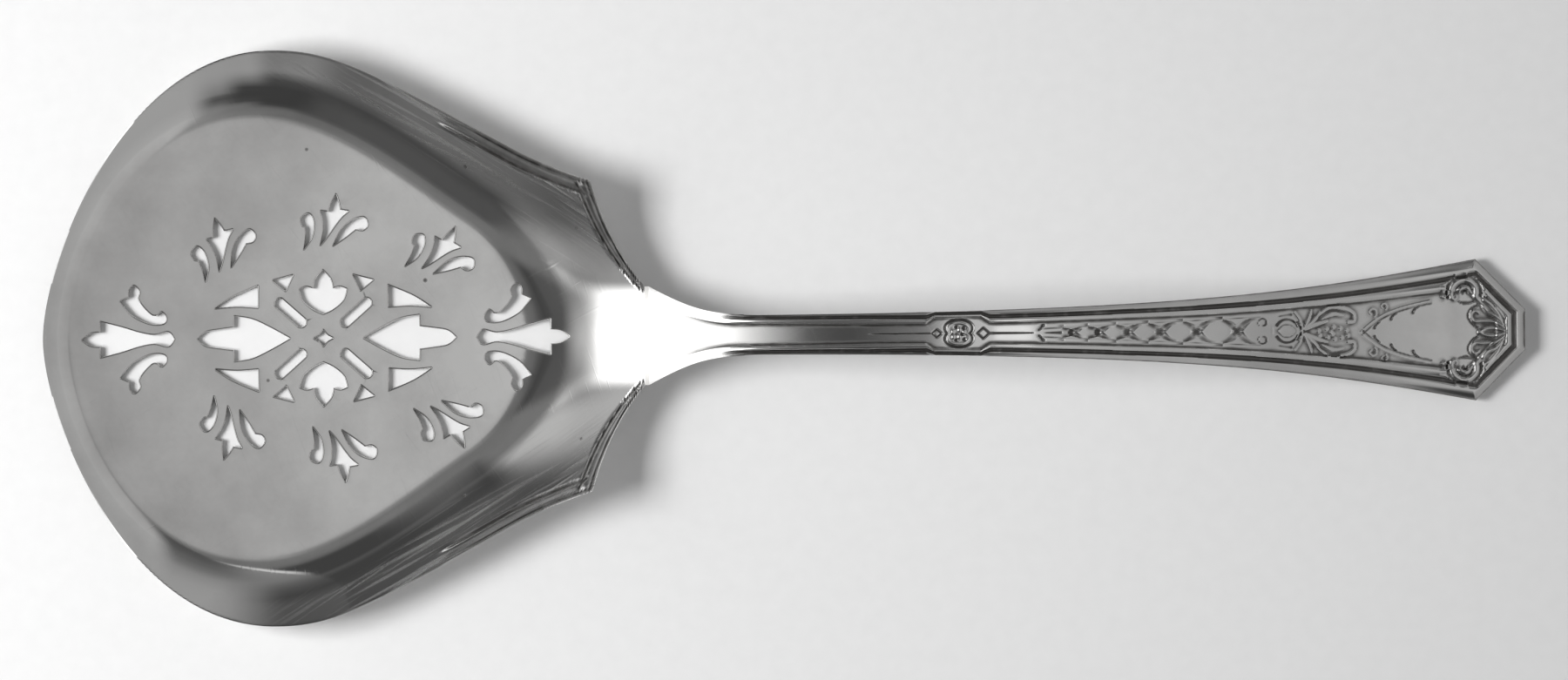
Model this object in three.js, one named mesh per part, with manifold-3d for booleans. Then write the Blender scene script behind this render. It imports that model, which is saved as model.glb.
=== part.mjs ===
// A bonbon spoon: a stamped, pierced bowl, a struck handle and the solder that joins them.
// Millimetres, +Z up. The bowl lies towards -X, the tip of the handle towards +X,
// and the flat floor of the bowl rests on z = 0.
import * as THREE from 'three';
import { mergeVertices } from 'three/addons/utils/BufferGeometryUtils.js';
import Module from 'manifold-3d';

const wasm = await Module();
wasm.setup();

// Bowl: outline seen from above, angles in degrees
const bowlLength = 52;
const bowlHalfWidth = 24.6;
const widestFromFront = 20;
const frontBluntness = 6.5;
const frontShoulder = 13.25;
const sideShoulder = 5;
const sideFromSeam = 11.7;
const sideHalfWidth = 16.1;
const sideReach = 14;
const sideAngle = 29;
const earFromSeam = 4.85;
const earHalfWidth = 13.2;
const earFlare = 19;
const earReach = 2.5;
const rearHollow = 0.85;

// Bowl: dished form
const sheet = 0.9;
const frontLip = 3.2;
const sideWall = 6.35;
const floorWidestFromFront = 18.5;
const floorBluntness = 7;
const floorShoulder = 10;
const floorSideReach = 6;
const heelFromSeam = 11;
const heelRadius = 11.3;
const heelSpread = 56;
const wallSlope = 0.95;
const wallBend = 5;

// Bowl: thread border struck along the rear rim
const rimThreadFoot = 1.5;
const rimThreadCrest = 1.05;
const rimThreadGroove = 0.6;
const rimThreadRelief = 0.2;
const rimThreadFromSeam = 18;
const rimThreadFade = 5;

// Handle: outline seen from above, angles in degrees
const handleLength = 75;
const neckHalfWidth = 4.2;
const neckLength = 9.5;
const neckAngle = 29;
const neckFlare = 4.2;
const stemHalfWidth = 1.72;
const stemReach = 37;
const cornerHalfWidth = 6.06;
const cornerAngle = 10.5;
const cornerReach = 13;
const tipHalfWidth = 1.75;
const chamferLength = 4.2;

// Handle: arched side view
const crownHeight = 12;
const crownFromSeam = 28.5;
const heelSweep = 9.5;
const crownRise = 21;
const crownFall = 15;
const restFromTip = 5.5;
const restSweep = 13;
const tipLift = 0.4;
const stemThickness = 2.3;
const tipThickness = 1.6;
const edgeThickness = 1;

// Handle: two threads struck along the edge, round a sunk field
const threadSpacing = 0.38;
const stemThreadSpacing = 0.25;
const threadDepth = 0.25;
const fieldDepth = 0.15;
const threadFromSeam = 6;
const threadFade = 3.5;
const threadWidening = 22;

// Lap joint under the heel
const tongueLength = 5;
const tongueInset = 0.6;
const tongueTipHalfWidth = 1.4;
const tongueTipThickness = 0.5;
const tongueRoot = 0.8;
const solderFilm = 0.2;
const solderInset = 0.3;
const seamLine = 0.35;
const seamSunk = 0.05;
const jointClearance = 0.1;

// Pierced pattern
const patternFromFront = 23.95;
const leafOffset = 0.3;
const rearLilyOffset = 0.4;
const lowerRowOffset = 0.65;
const barWidth = 0.85;

// Fineness of the faces
const frontSteps = 14;
const sideSteps = 12;
const fanSteps = 4;
const wallRings = 6;
const neckSteps = 7;
const edgeSteps = 22;
const lapRows = 6;
const lapColumns = 8;
const curveSteps = 2;
const barEndSteps = 5;
const traceSteps = 200;
const slopeStep = 0.01;

const frontX = -(bowlLength + handleLength) / 2;
const seamX = frontX + bowlLength;
const bowlEndX = seamX - seamLine;
const tipX = seamX + handleLength;
const widestX = frontX + widestFromFront;
const sideX = seamX - sideFromSeam;
const earX = seamX - earFromSeam;
const heelX = seamX - heelFromSeam;
const fanX = heelX - heelRadius;
const stemX = seamX + neckLength;
const cornerX = tipX - chamferLength;
const crownX = seamX + crownFromSeam;
const restX = tipX - restFromTip;
const patternX = frontX + patternFromFront;
const fanSpread = THREE.MathUtils.degToRad(heelSpread);
const smooth = THREE.MathUtils.smoothstep;
const lerp = THREE.MathUtils.lerp;

const point = (x, y) => new THREE.Vector2(x, y);

// A step of the given length that falls away from +X by an angle in degrees
function falling(length, degrees) {
  const angle = THREE.MathUtils.degToRad(degrees);
  return point(length * Math.cos(angle), -length * Math.sin(angle));
}

// Half of the bowl's rim, from the front on the axis to the corner of the neck
function rimHalf() {
  const front = point(frontX, 0);
  const widest = point(widestX, bowlHalfWidth);
  const side = point(sideX, sideHalfWidth);
  const ear = point(earX, earHalfWidth);
  const neck = point(bowlEndX, neckHalfWidth);
  const hollow = ear.clone().add(neck).divideScalar(2).addScalar(-rearHollow);
  return [
    new THREE.CubicBezierCurve(
      front,
      point(frontX, frontBluntness),
      point(widestX - frontShoulder, bowlHalfWidth),
      widest,
    ),
    new THREE.CubicBezierCurve(
      widest,
      point(widestX + sideShoulder, bowlHalfWidth),
      side.clone().sub(falling(sideReach, sideAngle)),
      side,
    ),
    new THREE.CubicBezierCurve(
      side,
      side.clone().add(falling(earReach, sideAngle)),
      ear.clone().sub(falling(earReach, earFlare)),
      ear,
    ),
    new THREE.QuadraticBezierCurve(ear, hollow, neck),
  ];
}

// Half of the flat floor's edge, ahead of the round heel
function floorHalf() {
  const front = point(frontX + frontLip, 0);
  const widest = point(frontX + floorWidestFromFront, bowlHalfWidth - sideWall);
  const heel = point(Math.cos(fanSpread), Math.sin(fanSpread)).multiplyScalar(heelRadius);
  heel.x += fanX;
  return {
    front: new THREE.CubicBezierCurve(
      front,
      point(front.x, floorBluntness),
      point(widest.x - floorShoulder, widest.y),
      widest,
    ),
    side: new THREE.CubicBezierCurve(
      widest,
      point(widest.x + floorSideReach, widest.y),
      heel.clone().sub(falling(floorSideReach, 90 - heelSpread)),
      heel,
    ),
  };
}

// Side view of the top face on the axis: up from the heel to the crown, then down to the table
const rise = new THREE.CubicBezierCurve(
  point(heelX, sheet),
  point(heelX + heelSweep, sheet),
  point(crownX - crownRise, crownHeight),
  point(crownX, crownHeight),
);
const fall = new THREE.CubicBezierCurve(
  point(crownX, crownHeight),
  point(crownX + crownFall, crownHeight),
  point(restX - restSweep, tipThickness),
  point(restX, tipThickness),
);

// Height of a side-view curve at a given x, found by halving until the two ends meet
function heightOn(curve, x) {
  let low = 0;
  let high = 1;
  let middle = (low + high) / 2;
  while (middle > low && middle < high) {
    if (curve.getPoint(middle).x < x) low = middle;
    else high = middle;
    middle = (low + high) / 2;
  }
  return curve.getPoint(low).y;
}

function axisHeight(x) {
  if (x <= heelX) return sheet;
  if (x <= crownX) return heightOn(rise, x);
  if (x <= restX) return heightOn(fall, x);
  return tipThickness + tipLift * ((x - restX) / restFromTip) ** 2;
}

// Height of the bowl's inner face at a distance out from the edge of the floor
function wallHeight(out) {
  const share = out / wallBend;
  if (share >= 1) return sheet + wallSlope * (out - wallBend / 2);
  return sheet + wallSlope * wallBend * (share ** 3 - share ** 4 / 2);
}

// Top face behind the heel, where the rising axis blends into the side walls
function fanHeight(x, y) {
  const angle = Math.atan2(Math.abs(y), x - fanX);
  const out = Math.hypot(x - fanX, y) - heelRadius;
  const shoulder = smooth(angle, 0, fanSpread) * (1 - smooth(x, seamX, stemX));
  return lerp(axisHeight(heelX + out), wallHeight(out), shoulder);
}

// Thickness measured straight down under a face whose height changes along a line
function plumb(thickness, heightAt) {
  const slope = (heightAt(slopeStep) - heightAt(-slopeStep)) / (2 * slopeStep);
  return thickness * Math.hypot(1, slope);
}

function fanUnder(x, y, thickness) {
  const reach = Math.hypot(x - fanX, y);
  const alongRay = (step) => fanHeight(x + ((x - fanX) / reach) * step, y + (y / reach) * step);
  return fanHeight(x, y) - plumb(thickness, alongRay);
}

// A closed solid over a flat mesh whose points each have a top and a bottom height
function plate(points, triangles, boundary) {
  const count = points.length;
  const position = points.flatMap(({ x, y, top }) => [x, y, top]);
  position.push(...points.flatMap(({ x, y, bottom }) => [x, y, bottom]));
  const index = [];
  for (const [a, b, c] of triangles) {
    index.push(a, b, c, a + count, c + count, b + count);
  }
  boundary.forEach((a, i) => {
    const b = boundary[(i + 1) % boundary.length];
    index.push(a, a + count, b + count, a, b + count, b);
  });
  const geometry = new THREE.BufferGeometry();
  geometry.setAttribute('position', new THREE.Float32BufferAttribute(position, 3));
  geometry.setIndex(index);
  return geometry;
}

const quad = (a, b, c, d) => [[a, b, c], [a, c, d]];

function toSolid(geometry) {
  geometry.deleteAttribute('normal');
  geometry.deleteAttribute('uv');
  const merged = mergeVertices(geometry);
  const vertProperties = Float32Array.from(merged.attributes.position.array);
  const triVerts = Uint32Array.from(merged.index.array);
  return new wasm.Manifold(new wasm.Mesh({ numProp: 3, vertProperties, triVerts }));
}

function toGeometry(solid) {
  const mesh = solid.getMesh();
  const geometry = new THREE.BufferGeometry();
  geometry.setAttribute('position', new THREE.Float32BufferAttribute(mesh.vertProperties, 3));
  geometry.setIndex(Array.from(mesh.triVerts));
  return geometry;
}

// Distance from a point along a direction to a polyline
function reachTo(polyline, start, direction) {
  let nearest = Infinity;
  for (let i = 1; i < polyline.length; i += 1) {
    const edge = polyline[i].clone().sub(polyline[i - 1]);
    const gap = polyline[i - 1].clone().sub(start);
    const turn = direction.cross(edge);
    const along = gap.cross(edge) / turn;
    const across = gap.cross(direction) / turn;
    if (along > 0 && across >= 0 && across <= 1) nearest = Math.min(nearest, along);
  }
  return nearest;
}

// Rays across the wall, from the floor's edge out to the rim, front to rear on the +Y side
function wallRays(rim) {
  const rays = [];
  const floor = floorHalf();
  for (const [curve, steps] of [[floor.front, frontSteps], [floor.side, sideSteps]]) {
    for (let i = 0; i < steps; i += 1) {
      const start = curve.getPoint(i / steps);
      const along = curve.getTangent(i / steps);
      const out = point(-along.y, along.x);
      const reach = rays.length ? reachTo(rim, start, out) : frontLip;
      rays.push({ start, out, reach, height: wallHeight, bordered: true });
    }
  }
  return rays;
}

// Rays behind the round heel: to the ear, along the hollow rear rim, then to the seam
function heelRays(rim) {
  const rays = [];
  const earAngle = Math.atan2(earHalfWidth, earX - fanX);
  const cornerAngleAtSeam = Math.atan2(neckHalfWidth, bowlEndX - fanX);
  const keys = [fanSpread, earAngle, cornerAngleAtSeam, 0];
  for (let i = 0; i <= fanSteps * (keys.length - 1); i += 1) {
    const span = Math.min(Math.floor(i / fanSteps), keys.length - 2);
    const angle = lerp(keys[span], keys[span + 1], i / fanSteps - span);
    const out = point(Math.cos(angle), Math.sin(angle));
    const start = out.clone().multiplyScalar(heelRadius).add(point(fanX, 0));
    const toSeam = angle <= cornerAngleAtSeam;
    const reach = toSeam ? (bowlEndX - fanX) / out.x - heelRadius : reachTo(rim, start, out);
    const height = (far) => fanHeight(start.x + out.x * far, start.y + out.y * far);
    rays.push({ start, out, reach, height, bordered: !toSeam });
  }
  return rays;
}

// Rings across the wall: the plain wall, then the crest, groove and edge of the rim's border
function wallRingDistances(reach) {
  const foot = Math.max(reach - rimThreadFoot, reach / 2);
  const border = (reach - foot) / rimThreadFoot;
  const plain = Array.from({ length: wallRings }, (_, ring) => (foot * (ring + 1)) / wallRings);
  return [...plain, reach - rimThreadCrest * border, reach - rimThreadGroove * border, reach];
}

function rimRelief(ring, x) {
  const start = seamX - rimThreadFromSeam;
  const depth = rimThreadRelief * smooth(x, start, start + rimThreadFade);
  if (ring === wallRings) return depth;
  if (ring === wallRings + 1) return -depth;
  return 0;
}

// The dished sheet before it is pierced: a flat floor and rings of wall round it
function bowlBlank() {
  const rim = rimHalf().flatMap((curve) => curve.getPoints(traceSteps));
  const upper = [...wallRays(rim), ...heelRays(rim)];
  const mirrored = upper.slice(1, -1).map((ray) => ({
    ...ray,
    start: point(ray.start.x, -ray.start.y),
    out: point(ray.out.x, -ray.out.y),
  }));
  const loop = [upper[0], ...mirrored, upper.at(-1), ...upper.slice(1, -1).reverse()];
  const points = [{ x: patternX, y: 0, top: sheet, bottom: 0 }];
  points.push(...loop.map(({ start }) => ({ x: start.x, y: start.y, top: sheet, bottom: 0 })));
  const rings = wallRingDistances(sideWall).length;
  for (let ring = 0; ring < rings; ring += 1) {
    for (const { start, out, reach, height, bordered } of loop) {
      const far = wallRingDistances(reach)[ring];
      const x = start.x + out.x * far;
      const y = start.y + out.y * far;
      const top = height(far) + (bordered ? rimRelief(ring, x) : 0);
      const bottom = height(far) - plumb(sheet, (step) => height(far + step));
      points.push({ x, y, top, bottom });
    }
  }
  const around = loop.length;
  const at = (ring, i) => 1 + ring * around + (i % around);
  const triangles = [];
  const boundary = [];
  for (let i = 0; i < around; i += 1) {
    triangles.push([0, at(0, i), at(0, i + 1)]);
    for (let ring = 0; ring < rings; ring += 1) {
      triangles.push(...quad(at(ring, i), at(ring + 1, i), at(ring + 1, i + 1), at(ring, i + 1)));
    }
    boundary.push(at(rings, i));
  }
  return plate(points, triangles, boundary);
}

// Pierced outlines, from the centre of the pattern. A curve runs smoothly between sharp corners.
const SHARP = true;
const centreDiamond = [
  [0.82, 0, SHARP], [0.33, 0.28], [0, 0.7, SHARP], [-0.33, 0.28],
  [-0.82, 0, SHARP], [-0.33, -0.28], [0, -0.7, SHARP], [0.33, -0.28],
];
const bud = [
  [0, 5.84, SHARP], [0.62, 5.1], [0.85, 4.25, SHARP], [1.45, 4.4], [2.02, 4.2, SHARP],
  [1.7, 3.25], [0.85, 2.5], [0, 2.1, SHARP], [-0.85, 2.5], [-1.7, 3.25],
  [-2.02, 4.2, SHARP], [-1.45, 4.4], [-0.85, 4.25, SHARP], [-0.62, 5.1],
];
const leaf = [
  [11.08, 0, SHARP], [10.36, 0.58], [9.1, 0.8], [7.95, 0.95, SHARP], [7.93, 1.92, SHARP],
  [6.4, 1.65], [4.85, 0.93], [3.18, 0, SHARP], [4.85, -0.93], [6.4, -1.65],
  [7.93, -1.92, SHARP], [7.95, -0.95, SHARP], [9.1, -0.8], [10.36, -0.58],
];
const longTriangle = [
  [9.26, 2.62, SHARP], [7.75, 3.58], [5.59, 4.52, SHARP], [5.62, 2.66, SHARP], [7.45, 2.77],
];
const shortTriangle = [
  [2.58, 5.43, SHARP], [4.3, 4.98, SHARP], [3.22, 4.08, SHARP],
];
const endLily = [
  [20.7, 0, SHARP], [19.95, 0.5], [19.1, 0.6, SHARP], [19.1, 1.52, SHARP], [17.35, 1.06],
  [15.75, 0.57], [14.45, 0.36], [13.3, 0.6], [12.8, 0, SHARP], [13.3, -0.6], [14.45, -0.36],
  [15.75, -0.57], [17.35, -1.06], [19.1, -1.52, SHARP], [19.1, -0.6, SHARP], [19.95, -0.5],
];
const endScroll = [
  [17.39, 3.28, SHARP], [16.62, 3.62, SHARP], [16.6, 4.25], [16.2, 4.6], [15.75, 4.1],
  [15.85, 3.45], [15.39, 2.72], [14.7, 2.06], [14.25, 2.02, SHARP], [13.85, 2.32], [13.47, 1.85],
  [13.65, 1.38], [14.53, 1.29], [15.52, 1.6], [16.52, 2.22],
];

// One small lily, from the foot of its stem with its tip towards +Y
const lilyHeart = [
  [0, 0, SHARP], [0.28, 0.7], [0.66, 2], [0.94, 2.8], [1.36, 3.52, SHARP], [0.64, 3.4, SHARP],
  [0.3, 4], [-0.12, 4.55, SHARP], [-0.25, 3.7], [-0.26, 2.9, SHARP], [-0.9, 2.78, SHARP],
  [-0.45, 2.05], [-0.13, 1.16],
];
const lilyLeft = [
  [-1.22, -0.8, SHARP], [-0.92, 0.31], [-1.01, 1.2], [-1.31, 1.9], [-1.8, 2.23], [-2.3, 1.7],
  [-2.05, 1.14], [-1.73, 1.07, SHARP], [-1.43, 0.34],
];
const lilyRight = [
  [1.04, 0.28, SHARP], [1.8, 1.29], [2.45, 2.28, SHARP], [3.06, 2.39], [3.29, 2.92], [2.78, 3.44],
  [1.87, 2.82], [1.27, 1.75],
];
const lilies = [
  { foot: point(-8.9, 5.8), lean: -3 },
  { foot: point(-0.2, 8), lean: 19 },
  { foot: point(8.5, 5.95), lean: 41 },
];
const barInner = point(1.9, 1.38);
const barOuter = point(3.72, 3);

function placedOutline(outline, place) {
  return outline.map(([x, y, sharp]) => ({ at: place(point(x, y)), sharp }));
}

// A closed shape through the points, smooth between the sharp ones
function outlineShape(outline) {
  const shape = new THREE.Shape();
  const closed = [...outline, outline[0]];
  let run = [];
  shape.moveTo(outline[0].at.x, outline[0].at.y);
  closed.forEach(({ at, sharp }) => {
    run.push(at);
    if (!sharp || run.length < 2) return;
    const curve = run.length > 2 ? new THREE.SplineCurve(run) : new THREE.LineCurve(...run);
    const steps = run.length > 2 ? curveSteps * (run.length - 1) : 1;
    curve.getPoints(steps).slice(1).forEach(({ x, y }) => shape.lineTo(x, y));
    run = [at];
  });
  return shape;
}

// A straight slot with round ends
function barShape(from, to) {
  const along = to.clone().sub(from).angle();
  const shape = new THREE.Shape();
  for (const [end, start] of [[from, along + Math.PI / 2], [to, along - Math.PI / 2]]) {
    for (let i = 0; i <= barEndSteps; i += 1) {
      const angle = start + (Math.PI * i) / barEndSteps;
      const x = end.x + (barWidth / 2) * Math.cos(angle);
      const y = end.y + (barWidth / 2) * Math.sin(angle);
      if (i === 0 && end === from) shape.moveTo(x, y);
      else shape.lineTo(x, y);
    }
  }
  return shape;
}

function pierceShapes() {
  const shapes = [];
  const both = [1, -1];
  const cut = (outline, place) => shapes.push(outlineShape(placedOutline(outline, place)));
  cut(centreDiamond, (at) => at);
  for (const flipX of both) {
    cut(bud, (at) => point(at.x, at.y * flipX));
    cut(leaf, (at) => point(at.x * flipX + leafOffset, at.y));
    const endOffset = flipX > 0 ? rearLilyOffset : 0;
    cut(endLily, (at) => point(at.x * flipX + endOffset, at.y));
    for (const flipY of both) {
      const turned = (at) => point(at.x * flipX, at.y * flipY);
      cut(longTriangle, turned);
      cut(shortTriangle, turned);
      cut(endScroll, (at) => turned(at).add(point(endOffset, 0)));
      shapes.push(barShape(turned(barInner), turned(barOuter)));
    }
  }
  for (const flipY of both) {
    const rowOffset = flipY < 0 ? lowerRowOffset : 0;
    for (const { foot, lean } of lilies) {
      for (const outline of [lilyHeart, lilyLeft, lilyRight]) {
        cut(outline, (at) => {
          const turned = at.rotateAround(point(0, 0), THREE.MathUtils.degToRad(-lean)).add(foot);
          return point(turned.x + rowOffset, turned.y * flipY);
        });
      }
    }
  }
  return shapes;
}

function makeBowl() {
  let bowl = toSolid(bowlBlank());
  for (const shape of pierceShapes()) {
    const cutter = new THREE.ExtrudeGeometry(shape, { depth: sheet + crownHeight, bevelEnabled: false });
    cutter.translate(patternX, 0, -sheet);
    bowl = bowl.subtract(toSolid(cutter));
  }
  return toGeometry(bowl);
}

// Half of the handle's edge, from the seam to the corner of the tip
function handleHalf() {
  const corner = point(cornerX, cornerHalfWidth);
  const neck = new THREE.CubicBezierCurve(
    point(seamX, neckHalfWidth),
    point(seamX, neckHalfWidth).add(falling(neckFlare, neckAngle)),
    point(stemX - neckFlare, stemHalfWidth),
    point(stemX, stemHalfWidth),
  );
  const edge = new THREE.CubicBezierCurve(
    point(stemX, stemHalfWidth),
    point(stemX + stemReach, stemHalfWidth),
    corner.clone().sub(falling(cornerReach, -cornerAngle)),
    corner,
  );
  return [...neck.getPoints(neckSteps), ...edge.getPoints(edgeSteps).slice(1), point(tipX, tipHalfWidth)];
}

// For each point of the edge, the inward step that keeps both neighbouring edges one unit away
function inwardSteps(edge) {
  const before = [edge[0].clone().sub(edge[1].clone().sub(edge[0])), ...edge.slice(0, -1)];
  const after = [...edge.slice(1), point(tipX, -tipHalfWidth)];
  return edge.map((at, i) => {
    const first = at.clone().sub(before[i]).normalize();
    const second = after[i].clone().sub(at).normalize();
    const step = point(first.y + second.y, -first.x - second.x);
    step.divideScalar(1 + first.dot(second));
    return i === 0 ? point(0, -1 / first.x) : step;
  });
}

// Across the border: the edge, the outer thread, the groove, the inner thread and the field
const borderRelief = [-fieldDepth, 0, -threadDepth, 0, -fieldDepth];

function handleHeights(x, y, ring) {
  const start = seamX + threadFromSeam;
  const struck = smooth(x, start, start + threadFade);
  const full = lerp(stemThickness, tipThickness, smooth(x, stemX, restX));
  const inward = 1 - ring / (borderRelief.length - 1);
  const thickness = lerp(full, edgeThickness, inward ** 2);
  return { top: fanHeight(x, y) + struck * borderRelief[ring], bottom: fanUnder(x, y, thickness) };
}

// The bar behind the seam: rings of border along its edge, and a field between them
function handleBody() {
  const edge = handleHalf();
  const inward = inwardSteps(edge);
  const stations = edge.length;
  const rings = borderRelief.length;
  const points = [];
  for (const flipY of [1, -1]) {
    edge.forEach((at, i) => {
      const widened = smooth(at.x, stemX, stemX + threadWidening);
      const spacing = lerp(stemThreadSpacing, threadSpacing, widened);
      for (let ring = 0; ring < rings; ring += 1) {
        const x = at.x + inward[i].x * spacing * ring;
        const y = (at.y + inward[i].y * spacing * ring) * flipY;
        points.push({ x, y, ...handleHeights(x, y, ring) });
      }
    });
  }
  const upper = (i, ring) => i * rings + ring;
  const lower = (i, ring) => (stations + i) * rings + ring;
  const last = stations - 1;
  const field = rings - 1;
  const triangles = [];
  for (let ring = 0; ring < field; ring += 1) {
    const next = ring + 1;
    for (let i = 0; i < last; i += 1) {
      triangles.push(...quad(upper(i, ring), upper(i, next), upper(i + 1, next), upper(i + 1, ring)));
      triangles.push(...quad(lower(i, ring), lower(i + 1, ring), lower(i + 1, next), lower(i, next)));
    }
    triangles.push(...quad(upper(last, ring), upper(last, next), lower(last, next), lower(last, ring)));
  }
  for (let i = 0; i < last; i += 1) {
    triangles.push(...quad(lower(i, field), lower(i + 1, field), upper(i + 1, field), upper(i, field)));
  }
  const boundary = [];
  for (let i = 0; i < stations; i += 1) boundary.push(lower(i, 0));
  for (let i = last; i >= 0; i -= 1) boundary.push(upper(i, 0));
  for (let ring = 1; ring < rings; ring += 1) boundary.push(upper(0, ring));
  for (let ring = field; ring > 0; ring -= 1) boundary.push(lower(0, ring));
  return plate(points, triangles, boundary);
}

// A closed solid over a patch of the lap, in rows along x and columns across it
function lapPatch(rows, halfWidth, top, bottom) {
  const columns = lapColumns + 1;
  const points = rows.flatMap((x) => Array.from({ length: columns }, (_, column) => {
    const y = halfWidth(x) * ((2 * column) / lapColumns - 1);
    return { x, y, top: top(x, y), bottom: bottom(x, y) };
  }));
  const at = (row, column) => row * columns + column;
  const end = rows.length - 1;
  const triangles = [];
  for (let row = 0; row < end; row += 1) {
    for (let column = 0; column < lapColumns; column += 1) {
      const next = column + 1;
      triangles.push(...quad(at(row, column), at(row + 1, column), at(row + 1, next), at(row, next)));
    }
  }
  const boundary = [];
  for (let row = 0; row < end; row += 1) boundary.push(at(row, 0));
  for (let column = 0; column < lapColumns; column += 1) boundary.push(at(end, column));
  for (let row = end; row > 0; row -= 1) boundary.push(at(row, lapColumns));
  for (let column = lapColumns; column > 0; column -= 1) boundary.push(at(0, column));
  return plate(points, triangles, boundary);
}

// Rows from the round end of the tongue back to the seam, closer together at the round end
function lapRowsFrom(length) {
  const angle = (row) => (row / lapRows) * (Math.PI / 2);
  return Array.from({ length: lapRows }, (_, row) => seamX - length * Math.cos(angle(row)));
}

function tongueHalfWidth(x) {
  const out = Math.min(Math.max((seamX - x) / tongueLength, 0), 1);
  return lerp(tongueTipHalfWidth, neckHalfWidth - tongueInset, Math.sqrt(1 - out ** 2));
}

const solderTop = (x, y) => fanUnder(x, y, sheet) - jointClearance;
const solderBottom = (x, y) => solderTop(x, y) - solderFilm;
const tongueTop = (x, y) => solderBottom(x, y) - jointClearance;

// Under side of the tongue: it meets the back of the neck at the seam and thins to its end
function tongueBottom(x, y) {
  const out = smooth(seamX - x, 0, tongueLength);
  const across = y / tongueHalfWidth(x);
  const root = tongueTop(x, y) - fanUnder(x, y, stemThickness);
  const middle = lerp(root, tongueTipThickness, out);
  return tongueTop(x, y) - lerp(middle, tongueTipThickness, across ** 4);
}

function makeHandle() {
  const rows = [...lapRowsFrom(tongueLength), seamX, seamX + tongueRoot];
  const tongue = lapPatch(rows, tongueHalfWidth, tongueTop, tongueBottom);
  return toGeometry(toSolid(handleBody()).add(toSolid(tongue)));
}

// Solder: the film in the lap and the line across the neck that rises from it
function makeSolder() {
  const endX = seamX - jointClearance;
  const lineX = bowlEndX + jointClearance;
  const rows = [...lapRowsFrom(tongueLength - solderInset), endX];
  const film = lapPatch(rows, (x) => tongueHalfWidth(x) - solderInset, solderTop, solderBottom);
  const inFilm = (x, y) => solderBottom(x, y) + solderFilm / 2;
  const sunkTop = (x, y) => fanHeight(x, y) - seamSunk;
  const line = lapPatch([lineX, endX], () => neckHalfWidth - solderInset, sunkTop, inFilm);
  return toGeometry(toSolid(film).add(toSolid(line)));
}

const spoon = new THREE.Group();

function addPiece(name, geometry, color, roughness) {
  const material = new THREE.MeshStandardMaterial({ color, roughness, metalness: 1 });
  const piece = new THREE.Mesh(geometry, material);
  piece.name = name;
  spoon.add(piece);
}

addPiece('bowl', makeBowl(), '#c9c8c5', 0.25);
addPiece('handle', makeHandle(), '#c4c3c0', 0.28);
addPiece('solder_seam', makeSolder(), '#bab8b2', 0.4);

export default spoon;
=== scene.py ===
"""Looks of a silver bonbon spoon, built around its packed frame.

The bowl is a dished and pierced sheet, the handle a die-struck bar, and a line of solder joins
them. Sizes are written in millimetres through MM, and everything that reaches Blender is in metres.
"""
import math

import bmesh
import bpy
import numpy as np
from bpy.props import FloatProperty, FloatVectorProperty, PointerProperty
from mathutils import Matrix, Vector, geometry, kdtree


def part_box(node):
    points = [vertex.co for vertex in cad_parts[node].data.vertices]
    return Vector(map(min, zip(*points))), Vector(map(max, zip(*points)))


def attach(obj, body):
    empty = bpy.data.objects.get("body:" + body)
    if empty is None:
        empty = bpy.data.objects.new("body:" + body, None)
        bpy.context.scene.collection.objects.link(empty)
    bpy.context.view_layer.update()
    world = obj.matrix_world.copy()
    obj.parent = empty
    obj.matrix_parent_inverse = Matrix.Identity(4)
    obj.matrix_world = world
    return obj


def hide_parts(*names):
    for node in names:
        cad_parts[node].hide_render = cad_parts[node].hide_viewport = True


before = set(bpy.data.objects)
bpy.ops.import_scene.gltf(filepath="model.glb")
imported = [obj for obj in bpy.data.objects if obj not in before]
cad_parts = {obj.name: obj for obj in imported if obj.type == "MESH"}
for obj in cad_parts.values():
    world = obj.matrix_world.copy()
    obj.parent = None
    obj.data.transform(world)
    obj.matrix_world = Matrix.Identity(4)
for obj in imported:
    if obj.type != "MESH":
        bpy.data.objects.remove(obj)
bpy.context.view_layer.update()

bl_info = {
    "name": "Bonbon spoon",
    "version": (1, 0, 0),
    "blender": (4, 5, 0),
    "location": "3D View > Sidebar > Spoon",
    "description": "Makes the pierced bowl, the struck handle and the solder of a silver spoon",
    "category": "Object",
}

MM = 0.001
BOWL_LOW, BOWL_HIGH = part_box("bowl")
_, HANDLE_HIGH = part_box("handle")
BODY = "root"


def length(label, millimetres, says):
    return FloatProperty(
        name=label, description=says, default=millimetres * MM, unit="LENGTH", precision=5
    )


def angle(label, degrees, says):
    return FloatProperty(
        name=label, description=says, default=math.radians(degrees), subtype="ANGLE"
    )


def share(label, value, says):
    return FloatProperty(name=label, description=says, default=value, min=0, soft_max=1)


def colour(label, value, says):
    return FloatVectorProperty(
        name=label, description=says, default=value, subtype="COLOR", size=3, min=0, max=1
    )


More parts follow.
